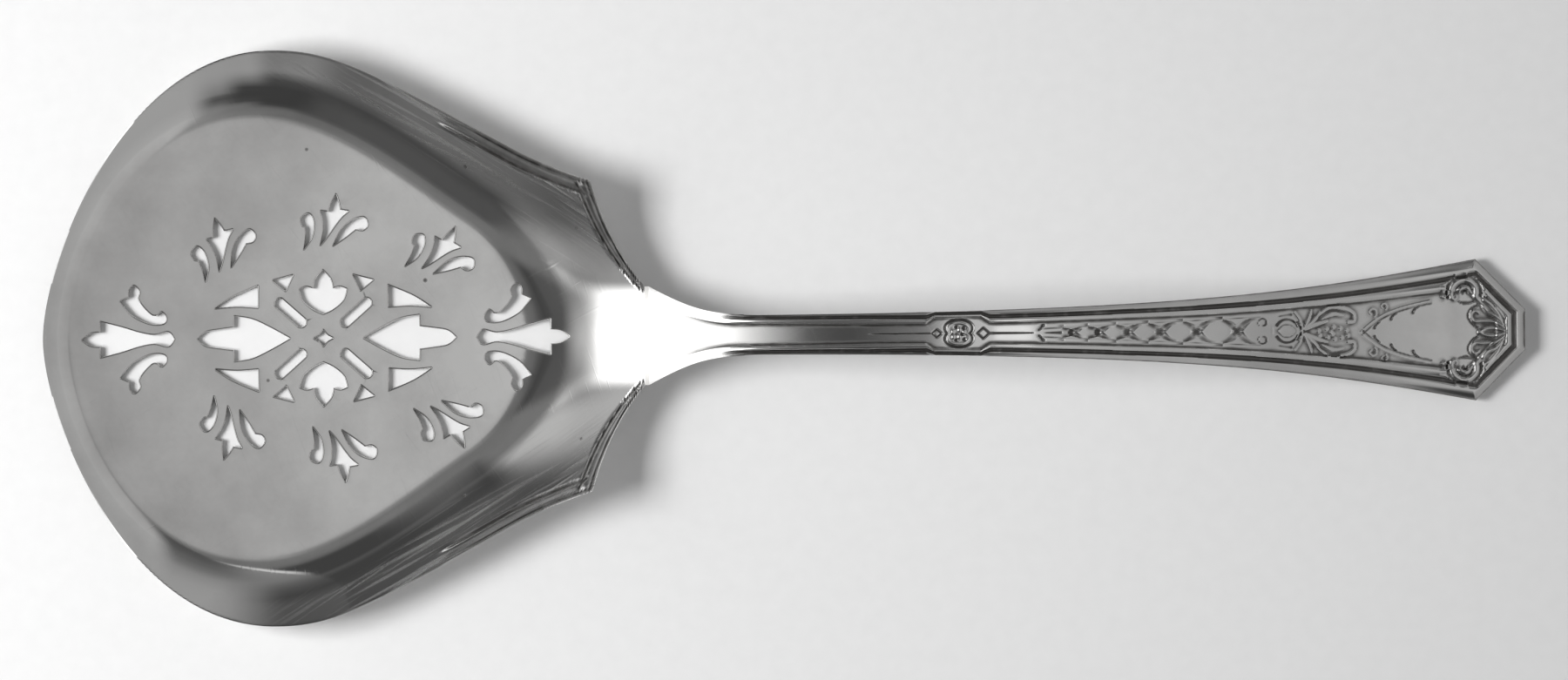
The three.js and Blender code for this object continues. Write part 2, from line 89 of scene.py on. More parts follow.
class BowlSizes(bpy.types.PropertyGroup):
    """The pierced bowl"""

    half_width: length("Half width", BOWL_HIGH.y / MM, "Axis to the widest point of the rim")
    widest: length("Widest point", 20, "Front of the rim to its widest point")
    front_bluntness: length("Front bluntness", 6.5, "Straightness of the rim at the front")
    front_shoulder: length("Front shoulder", 13.25, "Straightness of the rim ahead of the widest point")
    side_shoulder: length("Side shoulder", 5, "Straightness of the rim behind the widest point")
    side: length("Side", 11.7, "Seam to the start of the ear")
    side_half_width: length("Side half width", 16.1, "Axis to the rim at the start of the ear")
    side_reach: length("Side reach", 14, "Straightness of the side ahead of the ear")
    side_angle: angle("Side angle", 29, "How fast the side closes in towards the ear")
    ear: length("Ear", 4.85, "Seam to the point of the ear")
    ear_half_width: length("Ear half width", 13.2, "Axis to the point of the ear")
    ear_reach: length("Ear reach", 2.5, "Straightness of the ear's edge")
    ear_flare: angle("Ear flare", 19, "Angle of the rim at the ear")
    rear_hollow: length("Rear hollow", 0.85, "How far the rear rim is drawn in")
    sheet: length("Sheet", 0.9, "Thickness of the metal")
    front_lip: length("Front lip", 3.2, "Width of the lip at the front")
    side_wall: length("Side wall", 6.35, "Width of the wall at the widest point")
    floor_widest: length("Floor's widest point", 18.5, "Front of the rim to the widest point of the floor")
    floor_bluntness: length("Floor bluntness", 7, "Straightness of the floor's front edge")
    floor_shoulder: length("Floor shoulder", 10, "Straightness of the floor's edge at its widest")
    floor_side_reach: length("Floor side reach", 6, "Straightness of the floor's side")
    heel: length("Heel", 11, "Seam to the foot of the heel")
    heel_radius: length("Heel radius", 11.3, "Round of the heel, seen from above")
    heel_spread: angle("Heel spread", 56, "Half of the angle that the round heel covers")
    wall_slope: share("Wall slope", 0.95, "Slope of the straight part of the wall")
    wall_bend: length("Wall bend", 5, "Width over which the wall bends up")
    hollow: length("Hollow", 0.3, "How far the middle of the floor is sunk")
    hollow_middle: length("Hollow middle", 22, "Front of the rim to the middle of the sunk part")
    hollow_length: length("Hollow length", 50, "Length of the sunk part of the floor")
    hollow_width: length("Hollow width", 48, "Width of the sunk part of the floor")
    worn_edge: length("Worn piercings", 0.11, "Rounding of the pierced edges")
    worn_rim: length("Worn rim", 0.12, "Rounding of the rim")
    thread_rise: length("Thread rise", 0.17, "Height of the thread on the rear rim")
    border: length("Border", 1.2, "Width of the flat border on the rear rim")
    border_slope: share("Border slope", 0.3, "How much flatter the border is than the wall")


class HandleSizes(bpy.types.PropertyGroup):
    """The struck handle"""

    neck_half_width: length("Neck half width", 4.2, "Axis to the edge at the seam")
    neck: length("Neck", 9.5, "Length of the flared neck")
    neck_flare: length("Neck flare", 4.2, "Straightness of the neck's ends")
    neck_angle: angle("Neck angle", 29, "Angle of the neck's edge at the seam")
    stem_half_width: length("Stem half width", 1.72, "Axis to the edge of the stem")
    stem_reach: length("Stem reach", 37, "Straightness of the stem")
    corner_half_width: length("Corner half width", 6.06, "Axis to the corner of the tip")
    corner_angle: angle("Corner angle", 10.5, "Angle of the edge at the corner")
    corner_reach: length("Corner reach", 13, "Straightness of the edge ahead of the corner")
    tip_half_width: length("Tip half width", 1.75, "Half of the straight end")
    chamfer: length("Chamfer", 4.2, "Length of the cut corner")
    crown: length("Crown", 28.5, "Seam to the highest point")
    heel_sweep: length("Heel sweep", 9.5, "Ease of the rise at the heel")
    crown_rise: length("Crown rise", 21, "Ease of the rise ahead of the crown")
    crown_fall: length("Crown fall", 15, "Ease of the fall behind the crown")
    rest: length("Rest", 5.5, "Tip to the point that rests on the table")
    rest_sweep: length("Rest sweep", 13, "Ease of the fall ahead of that point")
    tip_lift: length("Tip lift", 0.4, "How far the tip turns up")
    stem_thickness: length("Stem thickness", 2.3, "Thickness at the stem")
    tip_thickness: length("Tip thickness", 1.6, "Thickness at the tip")
    edge_thickness: length("Edge thickness", 1, "Thickness at the edge")
    stem_bevel: length("Stem bevel", 0.34, "Width of the rounded edge on the stem")
    tip_bevel: length("Tip bevel", 0.75, "Width of the rounded edge at the tip")
    bevel_slope: share("Bevel slope", 1.0, "Steepness at the very edge")
    field_depth: length("Field depth", 0.12, "How far the field lies below the threads")
    relief_room: length("Relief room", 0.1, "How far the struck face starts below the bar's face")
    thread_start: length("Thread start", 6, "Seam to the start of the threads")
    thread_fade: length("Thread fade", 3.5, "Length over which the threads rise")
    relief_fade: length("Relief fade", 13, "Length over which the struck face sinks by the relief room")


class JointSizes(bpy.types.PropertyGroup):
    """The lap joint under the heel"""

    seam_line: length("Seam line", 0.35, "Width of the solder line across the neck")
    tongue: length("Tongue", 5, "Length of the tongue under the heel")
    tongue_inset: length("Tongue inset", 0.6, "Edge of the neck to the edge of the tongue")
    tongue_tip: length("Tongue tip", 1.4, "Half width of the tongue's round end")
    tongue_thin: length("Tongue thickness", 0.5, "Thickness of the tongue's end")
    tongue_root: length("Tongue root", 0.8, "How far the tongue reaches into the neck")
    film: length("Solder film", 0.2, "Thickness of the solder in the lap")
    film_inset: length("Film inset", 0.3, "Edge of the tongue to the edge of the solder")
    clearance: length("Clearance", 0.1, "Gap between the solder and its neighbours")


class SilverLook(bpy.types.PropertyGroup):
    """Finish of the metal"""

    silver: colour("Silver", (0.86, 0.855, 0.845), "Polished metal")
    darkening_tone: colour("Darkening tone", (0.46, 0.455, 0.447), "Faint cloudy film on the metal")
    # The tarnish colour also paints the shade on the border of the bowl's rear rim
    tarnish_and_shade: colour("Tarnish", (0.16, 0.155, 0.15), "Dark film left in the grooves")
    solder: colour("Solder", (0.8, 0.79, 0.77), "Solder across the neck")
    bowl_roughness: share("Bowl roughness", 0.085, "Polish of the bowl")
    handle_roughness: share("Handle roughness", 0.15, "Polish of the handle")
    solder_roughness: share("Solder roughness", 0.24, "Polish of the solder")
    tarnished_roughness: share("Tarnished roughness", 0.5, "Dullness of the tarnish")


class StageLook(bpy.types.PropertyGroup):
    """Camera, paper and light"""

    camera_distance: length("Camera distance", 600, "Table to the camera")
    frame_width: length("Frame width", 134.71, "Width of the table that the picture shows")
    frame_rise: length("Frame rise", -0.45, "Middle of the picture along Y")
    roll: angle("Roll", 0.42, "Turn of the spoon's axis in the picture")
    paper: colour("Paper", (0.87, 0.87, 0.87), "Sheet under the spoon")


# Curves


def bezier(points, steps):
    """Points on the curve that the control points draw."""
    t = np.linspace(0, 1, steps + 1)[:, None]
    layer = [np.asarray(point, float) for point in points]
    while len(layer) > 1:
        layer = [a * (1 - t) + b * t for a, b in zip(layer, layer[1:])]
    return layer[0]


def through(points, spacing):
    """A smooth curve through the points, about evenly sampled."""
    points = np.asarray(points, float)
    if len(points) == 1:
        return points
    padded = np.vstack([points[:1], points, points[-1:]])
    pieces = []
    for a, b, c, d in zip(padded, padded[1:], padded[2:], padded[3:]):
        count = max(2, math.ceil(np.linalg.norm(c - b) / spacing))
        t = np.arange(count)[:, None] / count
        rising, falling_off = (c - a) / 2, (d - b) / 2
        pieces.append(
            (2 * b - 2 * c + rising + falling_off) * t**3
            + (3 * c - 3 * b - 2 * rising - falling_off) * t**2
            + rising * t
            + b
        )
    return np.vstack(pieces + [points[-1:]])


def falling(reach, turn):
    """A step of a given length that falls at an angle."""
    return reach * np.array((math.cos(turn), -math.sin(turn)))


def smooth(value, low, high):
    """A soft step from 0 to 1."""
    t = np.clip((value - low) / (high - low), 0, 1)
    return t * t * (3 - 2 * t)


class SpoonShape:
    """Outlines and heights that the pieces share, worked out from the sizes."""

    TRACE = 600

    def __init__(self, scene):
        self.bowl, self.handle, self.joint = scene.spoon_bowl, scene.spoon_handle, scene.spoon_joint
        bowl, handle = self.bowl, self.handle
        self.front = BOWL_LOW.x
        self.bowl_end = BOWL_HIGH.x
        self.seam = self.bowl_end + self.joint.seam_line
        self.tip = HANDLE_HIGH.x
        self.crown_height = HANDLE_HIGH.z
        self.heel = self.seam - bowl.heel
        self.fan = self.heel - bowl.heel_radius
        self.stem = self.seam + handle.neck
        self.corner = self.tip - handle.chamfer
        self.crown = self.seam + handle.crown
        self.rest = self.tip - handle.rest
        rise = bezier(
            [
                (self.heel, bowl.sheet),
                (self.heel + handle.heel_sweep, bowl.sheet),
                (self.crown - handle.crown_rise, self.crown_height),
                (self.crown, self.crown_height),
            ],
            self.TRACE,
        )
        fall = bezier(
            [
                (self.crown, self.crown_height),
                (self.crown + handle.crown_fall, self.crown_height),
                (self.rest - handle.rest_sweep, handle.tip_thickness),
                (self.rest, handle.tip_thickness),
            ],
            self.TRACE,
        )
        self.side_view = np.vstack([rise, fall[1:]])
        neck = bezier(
            [
                (self.seam, handle.neck_half_width),
                np.array((self.seam, handle.neck_half_width)) + falling(handle.neck_flare, handle.neck_angle),
                (self.stem - handle.neck_flare, handle.stem_half_width),
                (self.stem, handle.stem_half_width),
            ],
            self.TRACE,
        )
        corner = np.array((self.corner, handle.corner_half_width))
        edge = bezier(
            [
                (self.stem, handle.stem_half_width),
                (self.stem + handle.stem_reach, handle.stem_half_width),
                corner - falling(handle.corner_reach, -handle.corner_angle),
                corner,
            ],
            self.TRACE,
        )
        self.edge = np.vstack([neck, edge[1:]])

    def rim_half(self):
        """Half of the rim in its four stretches, from the front to the corner of the neck."""
        bowl = self.bowl
        widest_x = self.front + bowl.widest
        front = np.array((self.front, 0))
        widest = np.array((widest_x, bowl.half_width))
        side = np.array((self.seam - bowl.side, bowl.side_half_width))
        ear = np.array((self.seam - bowl.ear, bowl.ear_half_width))
        neck = np.array((self.bowl_end, self.handle.neck_half_width))
        stretches = [
            [front, front + (0, bowl.front_bluntness), widest - (bowl.front_shoulder, 0), widest],
            [
                widest,
                widest + (bowl.side_shoulder, 0),
                side - falling(bowl.side_reach, bowl.side_angle),
                side,
            ],
            [
                side,
                side + falling(bowl.ear_reach, bowl.side_angle),
                ear - falling(bowl.ear_reach, bowl.ear_flare),
                ear,
            ],
            [ear, (ear + neck) / 2 - bowl.rear_hollow, neck],
        ]
        return [bezier(points, self.TRACE) for points in stretches]

    def floor_half(self, steps):
        """Half of the floor's edge ahead of the heel."""
        bowl = self.bowl
        front = np.array((self.front + bowl.front_lip, 0))
        widest = np.array((self.front + bowl.floor_widest, bowl.half_width - bowl.side_wall))
        heel = bowl.heel_radius * np.array((math.cos(bowl.heel_spread), math.sin(bowl.heel_spread)))
        heel[0] += self.fan
        ahead = bezier(
            [front, front + (0, bowl.floor_bluntness), widest - (bowl.floor_shoulder, 0), widest], steps
        )
        behind = bezier(
            [
                widest,
                widest + (bowl.floor_side_reach, 0),
                heel - falling(bowl.floor_side_reach, math.pi / 2 - bowl.heel_spread),
                heel,
            ],
            steps,
        )
        return np.vstack([ahead, behind[1:]])

    def axis_height(self, x):
        """Upper face on the axis, from the heel to the tip."""
        handle = self.handle
        height = np.interp(x, self.side_view[:, 0], self.side_view[:, 1])
        lifted = handle.tip_lift * (np.clip(x - self.rest, 0, None) / handle.rest) ** 2
        return height + lifted

    def wall_height(self, out):
        """Upper face of the wall at a distance out from the floor's edge."""
        bowl = self.bowl
        part = np.clip(out / bowl.wall_bend, 0, 1)
        bend = bowl.wall_slope * bowl.wall_bend * (part**3 - part**4 / 2)
        straight = bowl.wall_slope * np.clip(out - bowl.wall_bend, 0, None)
        return bowl.sheet + bend + straight

    def wall_under(self, out):
        """Lower face of the wall, one sheet thickness below the upper one."""
        bowl = self.bowl
        slope = bowl.wall_slope * smooth(out, 0, bowl.wall_bend)
        return self.wall_height(out) - bowl.sheet * np.hypot(1, slope)

    def hollowed(self, x, y):
        """How far the floor is sunk there."""
        bowl = self.bowl
        middle = self.front + bowl.hollow_middle
        out = (2 * (x - middle) / bowl.hollow_length) ** 2 + (2 * y / bowl.hollow_width) ** 2
        return bowl.hollow * np.clip(1 - out, 0, 1) ** 2

    def fan_height(self, x, y):
        """Upper face behind the floor, along rays that fan out from the heel."""
        bowl = self.bowl
        around = np.arctan2(np.abs(y), x - self.fan)
        out = np.hypot(x - self.fan, y) - bowl.heel_radius
        shoulder = smooth(around, 0, bowl.heel_spread) * (1 - smooth(x, self.seam, self.stem))
        along = self.axis_height(self.heel + out)
        return along + (self.wall_height(out) - along) * shoulder

    def fan_under(self, x, y, thickness):
        """Face that lies one thickness below the fanned one."""
        step = 0.01 * MM
        reach = np.hypot(x - self.fan, y)
        ray_x, ray_y = (x - self.fan) / reach * step, y / reach * step
        slope = (self.fan_height(x + ray_x, y + ray_y) - self.fan_height(x - ray_x, y - ray_y)) / (2 * step)
        return self.fan_height(x, y) - thickness * np.hypot(1, slope)

    def edge_half_width(self, x):
        """Half width of the handle ahead of its cut corners."""
        return np.interp(x, self.edge[:, 0], self.edge[:, 1])

    def half_width(self, x):
        """Half width of the handle, cut corners included."""
        handle = self.handle
        cut = np.clip((x - self.corner) / handle.chamfer, 0, 1)
        return self.edge_half_width(x) + cut * (handle.tip_half_width - handle.corner_half_width)


# Meshes


def add_object(name, mesh):
    piece = bpy.data.objects.new(name, mesh)
    bpy.context.scene.collection.objects.link(piece)
    return piece


def new_object(name, vertices, faces, edges=()):
    mesh = bpy.data.meshes.new(name)
    mesh.from_pydata([tuple(vertex) for vertex in vertices], list(edges), [tuple(face) for face in faces])
    mesh.update()
    return add_object(name, mesh)


def set_attribute(mesh, name, values):
    found = mesh.attributes.get(name) or mesh.attributes.new(name, "FLOAT", "POINT")
    found.data.foreach_set("value", np.asarray(values, np.float32))


def get_attribute(mesh, name):
    values = np.empty(len(mesh.vertices), np.float32)
    mesh.attributes[name].data.foreach_get("value", values)
    return values


def heights(mesh):
    places = np.empty(len(mesh.vertices) * 3, np.float32)
    mesh.vertices.foreach_get("co", places)
    return places.reshape(-1, 3)[:, 2]


def turn_outwards(mesh):
    shell = bmesh.new()
    shell.from_mesh(mesh)
    bmesh.ops.recalc_face_normals(shell, faces=shell.faces)
    shell.to_mesh(mesh)
    shell.free()


def bake_modifiers(piece):
    """Turns the evaluated piece into a plain mesh without modifiers."""
    graph = bpy.context.evaluated_depsgraph_get()
    mesh = bpy.data.meshes.new_from_object(piece.evaluated_get(graph))
    piece.modifiers.clear()
    piece.data = mesh
    return mesh


def remove(piece):
    mesh = piece.data
    bpy.data.objects.remove(piece)
    bpy.data.meshes.remove(mesh)


def finish_piece(piece, nodes, sharp_angle):
    """Shades a finished piece and ties it to the frame."""
    piece.data.shade_smooth()
    piece.data.set_sharp_from_angle(angle=math.radians(sharp_angle))
    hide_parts(*nodes)
    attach(piece, BODY)


# Node trees


def add_node(tree, kind, inputs=None, **settings):
    made = tree.nodes.new(kind)
    for key, value in settings.items():
        setattr(made, key, value)
    for key, value in (inputs or {}).items():
        socket = made.inputs[key]
        if isinstance(value, bpy.types.NodeSocket):
            tree.links.new(value, socket)
        else:
            socket.default_value = value
    return made


def calc(tree, operation, *values, clamp=False):
    made = add_node(tree, "ShaderNodeMath", dict(enumerate(values)), operation=operation, use_clamp=clamp)
    return made.outputs[0]


def ramp(tree, value, low, high, bottom=0.0, top=1.0, kind="LINEAR"):
    """Runs from bottom to top while the value goes from low to high."""
    inputs = {"Value": value, "From Min": low, "From Max": high, "To Min": bottom, "To Max": top}
    return add_node(tree, "ShaderNodeMapRange", inputs, interpolation_type=kind).outputs[0]


def noise(tree, place, scale, detail, roughness=0.5):
    inputs = {"Vector": place, "Scale": scale, "Detail": detail, "Roughness": roughness}
    return add_node(tree, "ShaderNodeTexNoise", inputs).outputs[0]


def blend(tree, factor, first, second, way="MIX"):
    inputs = {"Factor": factor, "A": first, "B": second}
    return add_node(tree, "ShaderNodeMix", inputs, data_type="RGBA", blend_type=way).outputs["Result"]


def new_tree(name, kind, inputs, outputs):
    tree = bpy.data.node_groups.new(name, kind)
    for label, socket, value in inputs:
        made = tree.interface.new_socket(label, in_out="INPUT", socket_type="NodeSocket" + socket)
        if value is not None:
            made.default_value = value
    for label, socket in outputs:
        tree.interface.new_socket(label, in_out="OUTPUT", socket_type="NodeSocket" + socket)
    source = tree.nodes.new("NodeGroupInput").outputs
    target = tree.nodes.new("NodeGroupOutput").inputs
    return tree, source, target


def add_modifier(piece, tree, **values):
    modifier = piece.modifiers.new(tree.name, "NODES")
    modifier.node_group = tree
    for label, value in values.items():
        modifier[tree.interface.items_tree[label.replace("_", " ")].identifier] = value


def end_tree(tree, shape, material, target):
    real = add_node(tree, "GeometryNodeRealizeInstances", {"Geometry": shape})
    painted = add_node(
        tree, "GeometryNodeSetMaterial", {"Geometry": real.outputs[0], "Material": material}
    )
    tree.links.new(painted.outputs[0], target["Geometry"])


def position(tree):
    return add_node(tree, "GeometryNodeInputPosition").outputs[0]


def plan_position(tree):
    place = add_node(tree, "ShaderNodeSeparateXYZ", {0: position(tree)})
    return add_node(tree, "ShaderNodeCombineXYZ", {0: place.outputs[0], 1: place.outputs[1]}).outputs[0]


def named_value(tree, name):
    return add_node(tree, "GeometryNodeInputNamedAttribute", {"Name": name}, data_type="FLOAT").outputs[0]


def lift(tree, shape, height):
    """Moves every point up by its own height."""
    offset = add_node(tree, "ShaderNodeCombineXYZ", {2: height}).outputs[0]
    return add_node(tree, "GeometryNodeSetPosition", {"Geometry": shape, "Offset": offset}).outputs[0]


def strike_tree():
    """Raises or sinks the upper face along strokes that lie in plan under it."""
    tree, source, target = new_tree(
        "Strike along strokes",
        "GeometryNodeTree",
        [("Geometry", "Geometry", None), ("Strokes", "Object", None), ("Strength", "Float", 1.0),
         ("Silver", "Material", None)],
        [("Geometry", "Geometry")],
    )
    strokes = add_node(tree, "GeometryNodeObjectInfo", {"Object": source["Strokes"]}).outputs["Geometry"]
    place = plan_position(tree)
    nearest = add_node(
        tree, "GeometryNodeSampleNearest", {"Geometry": strokes, "Sample Position": place}, domain="POINT"
    ).outputs[0]

    def sample(value, data_type):
        inputs = {"Geometry": strokes, "Value": value, "Index": nearest}
        settings = {"data_type": data_type, "domain": "POINT"}
        return add_node(tree, "GeometryNodeSampleIndex", inputs, **settings).outputs[0]

    point = sample(position(tree), "FLOAT_VECTOR")
    reach = sample(named_value(tree, "half_width"), "FLOAT")
    rise = sample(named_value(tree, "rise"), "FLOAT")
    away = add_node(tree, "ShaderNodeVectorMath", {0: place, 1: point}, operation="DISTANCE").outputs["Value"]
    part = calc(tree, "DIVIDE", away, reach)
    round_top = calc(tree, "SUBTRACT", 1.0, calc(tree, "MULTIPLY", part, part), clamp=True)
    upper = calc(tree, "MAXIMUM", named_value(tree, "face_up"), 0.0)
    height = calc(tree, "MULTIPLY", calc(tree, "MULTIPLY", rise, round_top), upper)
    height = calc(tree, "MULTIPLY", height, source["Strength"])
    end_tree(tree, lift(tree, source["Geometry"], height), source["Silver"], target)
    return tree


def wear_tree():
    """Rounds both faces of a sheet over towards outlines that lie in plan under it."""
    tree, source, target = new_tree(
        "Wear edges",
        "GeometryNodeTree",
        [("Geometry", "Geometry", None), ("Outlines", "Object", None), ("Radius", "Float", 0.0002),
         ("Silver", "Material", None)],
        [("Geometry", "Geometry")],
    )
    outlines = add_node(tree, "GeometryNodeObjectInfo", {"Object": source["Outlines"]}).outputs["Geometry"]
    away = add_node(
        tree,
        "GeometryNodeProximity",
        {"Geometry": outlines, "Sample Position": plan_position(tree)},
        target_element="EDGES",
    ).outputs["Distance"]
    close = calc(tree, "SUBTRACT", 1.0, calc(tree, "DIVIDE", away, source["Radius"]), clamp=True)
    arc = calc(tree, "SQRT", calc(tree, "SUBTRACT", 1.0, calc(tree, "MULTIPLY", close, close)))
    drop = calc(tree, "MULTIPLY", calc(tree, "SUBTRACT", arc, 1.0), source["Radius"])
    height = calc(tree, "MULTIPLY", drop, named_value(tree, "face_up"))
    end_tree(tree, lift(tree, source["Geometry"], height), source["Silver"], target)
    return tree


def lattice_tree():
    """A row of crossings whose spacing and size grow along the handle."""
    tree, source, target = new_tree(
        "Row of crossings",
        "GeometryNodeTree",
        [("Geometry", "Geometry", None), ("Count", "Int", 6), ("Start", "Float", 0.0),
         ("Spacing", "Float", 0.002), ("Growth", "Float", 1.1), ("First half height", "Float", 0.0005),
         ("Widening", "Float", 0.05), ("Silver", "Material", None)],
        [("Geometry", "Geometry")],
    )
    index = add_node(tree, "GeometryNodeInputIndex").outputs[0]
    grown = calc(tree, "POWER", source["Growth"], index)
    run = calc(
        tree, "DIVIDE", calc(tree, "SUBTRACT", grown, 1.0), calc(tree, "SUBTRACT", source["Growth"], 1.0)
    )
    along = calc(tree, "MULTIPLY", run, source["Spacing"])
    half_height = calc(
        tree, "ADD", source["First half height"], calc(tree, "MULTIPLY", along, source["Widening"])
    )
    half_length = calc(tree, "MULTIPLY", calc(tree, "MULTIPLY", grown, source["Spacing"]), 0.5)
    place = add_node(
        tree, "ShaderNodeCombineXYZ", {0: calc(tree, "ADD", along, source["Start"])}
    ).outputs[0]
    row = add_node(tree, "GeometryNodeMeshLine", {"Count": source["Count"]}).outputs[0]
    placed = add_node(tree, "GeometryNodeSetPosition", {"Geometry": row, "Position": place}).outputs[0]
    size = add_node(tree, "ShaderNodeCombineXYZ", {0: half_length, 1: half_height, 2: 1.0}).outputs[0]
    crossings = add_node(
        tree,
        "GeometryNodeInstanceOnPoints",
        {"Points": placed, "Instance": source["Geometry"], "Scale": size},
    ).outputs[0]
    end_tree(tree, crossings, source["Silver"], target)
    return tree


# Strokes of the struck work, in millimetres along and across the handle


class Strokes:
    """Paths in plan with a half width and a rise, which is negative for a cut line."""

    SPACING = 0.04
    SCROLL_STEPS = 40

    def __init__(self):
        self.points, self.widths, self.rises = [], [], []

    def path(self, points, width, rise):
        """width is one half width, or several that are spread evenly along the path."""
        points = np.asarray(points, float)
        width = np.atleast_1d(width)
        at = np.linspace(0, 1, len(points))
        self.points.append(points)
        self.widths.append(np.interp(at, np.linspace(0, 1, len(width)), width))
        self.rises.append(np.broadcast_to(rise, (len(points),)))

    def curve(self, points, width, rise):
        self.path(through(points, self.SPACING), width, rise)

    def both(self, points, width, rise, middle=0.0):
        """A stroke and its mirror image across the line y = middle."""
        points = np.asarray(points, float)
        self.curve(points, width, rise)
        self.curve(points * (1, -1) + (0, 2 * middle), width, rise)

    def sharp(self, points, width, rise):
        """Straight runs between the points."""
        points = np.asarray(points, float)
        runs = []
        for a, b in zip(points, points[1:]):
            count = max(2, math.ceil(np.linalg.norm(b - a) / self.SPACING))
            runs.append(a + (b - a) * np.arange(count)[:, None] / count)
        self.path(np.vstack(runs + [points[-1:]]), width, rise)

    def scroll(self, centre, radii, turns, width, rise, middle=None):
        """Part of a spiral: start and end radius, start and end angle in degrees."""
        radius = np.linspace(*radii, self.SCROLL_STEPS)
        turn = np.radians(np.linspace(*turns, self.SCROLL_STEPS))
        points = np.stack([centre[0] + radius * np.cos(turn), centre[1] + radius * np.sin(turn)], 1)
        if middle is None:
            self.curve(points, width, rise)
        else:
            self.both(points, width, rise, middle)

    def mesh_object(self, name):
        places = np.vstack(self.points) * MM
        vertices = np.column_stack([places, np.zeros(len(places))])
        edges, start = [], 0
        for points in self.points:
            edges += [(start + i, start + i + 1) for i in range(len(points) - 1)]
            start += len(points)
        strokes = new_object(name, vertices, [], edges)
        set_attribute(strokes.data, "half_width", np.concatenate(self.widths) * MM)
        set_attribute(strokes.data, "rise", np.concatenate(self.rises) * MM)
        return strokes


# Stations along the handle, and how far the lines of the border lie from its edge there
BORDER_X = (-6, -2, 7, 19, 29, 44.5, 56, 60)
OUTER_GROOVE = (0.3, 0.3, 0.34, 0.56, 0.66, 0.96, 1.25, 1.32)
INNER_THREAD = (0.57, 0.57, 0.74, 0.91, 1.02, 1.42, 1.93, 2.05)
INNER_GROOVE = (0.84, 0.84, 1.02, 1.15, 1.27, 1.72, 2.3, 2.42)
PANEL_START, PANEL_END, PANEL_CUT, PANEL_DRAW = 12.0, 17.3, 0.75, 0.52
THREAD_END = 56.3
GROOVE_END = 59.3

# Depth or height of the border's lines, their hooked ends and their run round the tip
OUTER_CUT, THREAD_LIFT, INNER_CUT = -0.24, 0.1, -0.09
THREAD_HOOK = [(0, 0), (0.42, -0.05), (0.62, -0.38), (0.42, -0.75), (0.08, -0.7)]
TIP_GROOVE = [(62.55, 1.42), (62.55, -1.42)]
TIP_THREAD = [(60.05, 3.3), (62.0, 1.18), (62.0, -1.18), (60.05, -3.3)]

MEDALLION_X = 14.7
MEDALLION_BOSSES = ((-0.45, 0.12), (-0.42, -0.3), (0.12, 0.3), (0.5, 0.1), (0.1, -0.28))
MEDALLION_PITS = ((-0.2, 0.52), (-0.2, -0.58), (0.42, 0.45), (0.3, -0.08), (0.46, -0.5))

# Row of crossings, and one crossing's depth from its middle to its ends
FIELD_START, FIELD_END = 21.9, 40.6
LATTICE_COUNT, LATTICE_START, LATTICE_SPACING, LATTICE_GROWTH = 6, 24.2, 2.25, 1.12
LATTICE_HALF_HEIGHT, LATTICE_WIDENING = 0.46, 0.045
CROSS_STEPS = 60
CROSS_PARTS, CROSS_RISES = (0, 0.2, 0.6, 1), (-0.38, -0.16, -0.085, -0.015)
CROSS_HALF_WIDTHS = (0.24, 0.34, 0.42, 0.34, 0.24)
CROSS_ARM_END = 0.8

# Lines about which the shield and the fronds at the tip are mirrored
SHIELD_MIDDLE, FROND_MIDDLE = -0.15, -0.2


def border_inset(x, insets):
    """Distance from the edge to a border line, drawn outwards round the panel on the stem."""
    inset = np.interp(x, BORDER_X, insets)
    ahead = np.clip((x - PANEL_START) / PANEL_CUT, 0, 1)
    behind = np.clip((PANEL_END - x) / PANEL_CUT, 0, 1)
    return inset * (1 - PANEL_DRAW * np.minimum(ahead, behind))


def border_line(shape, x, insets):
    """Plan points of one border line on the +Y side."""
    return np.stack([x, shape.edge_half_width(x * MM) / MM - border_inset(x, insets)], 1)


def border_strokes(shape, strokes):
    """Groove, thread and groove along both edges, and their run round the tip."""
    start = (shape.seam + shape.handle.thread_start) / MM
    full = start + shape.handle.thread_fade / MM
    lines = [
        (OUTER_GROOVE, (0.15, 0.3), OUTER_CUT, GROOVE_END),
        (INNER_THREAD, (0.2, 0.3), THREAD_LIFT, THREAD_END),
        (INNER_GROOVE, (0.08, 0.12), INNER_CUT, THREAD_END),
    ]
    for insets, widths, rise, end in lines:
        x = np.arange(start, end, Strokes.SPACING)
        line = border_line(shape, x, insets)
        width = np.interp(x, (full, GROOVE_END), widths)
        for side in (1, -1):
            strokes.path(line * (1, side), width, rise * smooth(x, start, full))
    end_x, end_y = border_line(shape, np.array([THREAD_END]), INNER_THREAD)[0]
    for side in (1, -1):
        hook = [(end_x + x, (end_y + y) * side) for x, y in THREAD_HOOK]
        strokes.curve(hook, (0.24, 0.16), THREAD_LIFT)
    corner = border_line(shape, np.array([GROOVE_END]), OUTER_GROOVE)[0]
    strokes.sharp([corner, *TIP_GROOVE, corner * (1, -1)], 0.27, OUTER_CUT)
    strokes.sharp(TIP_THREAD, 0.25, THREAD_LIFT)


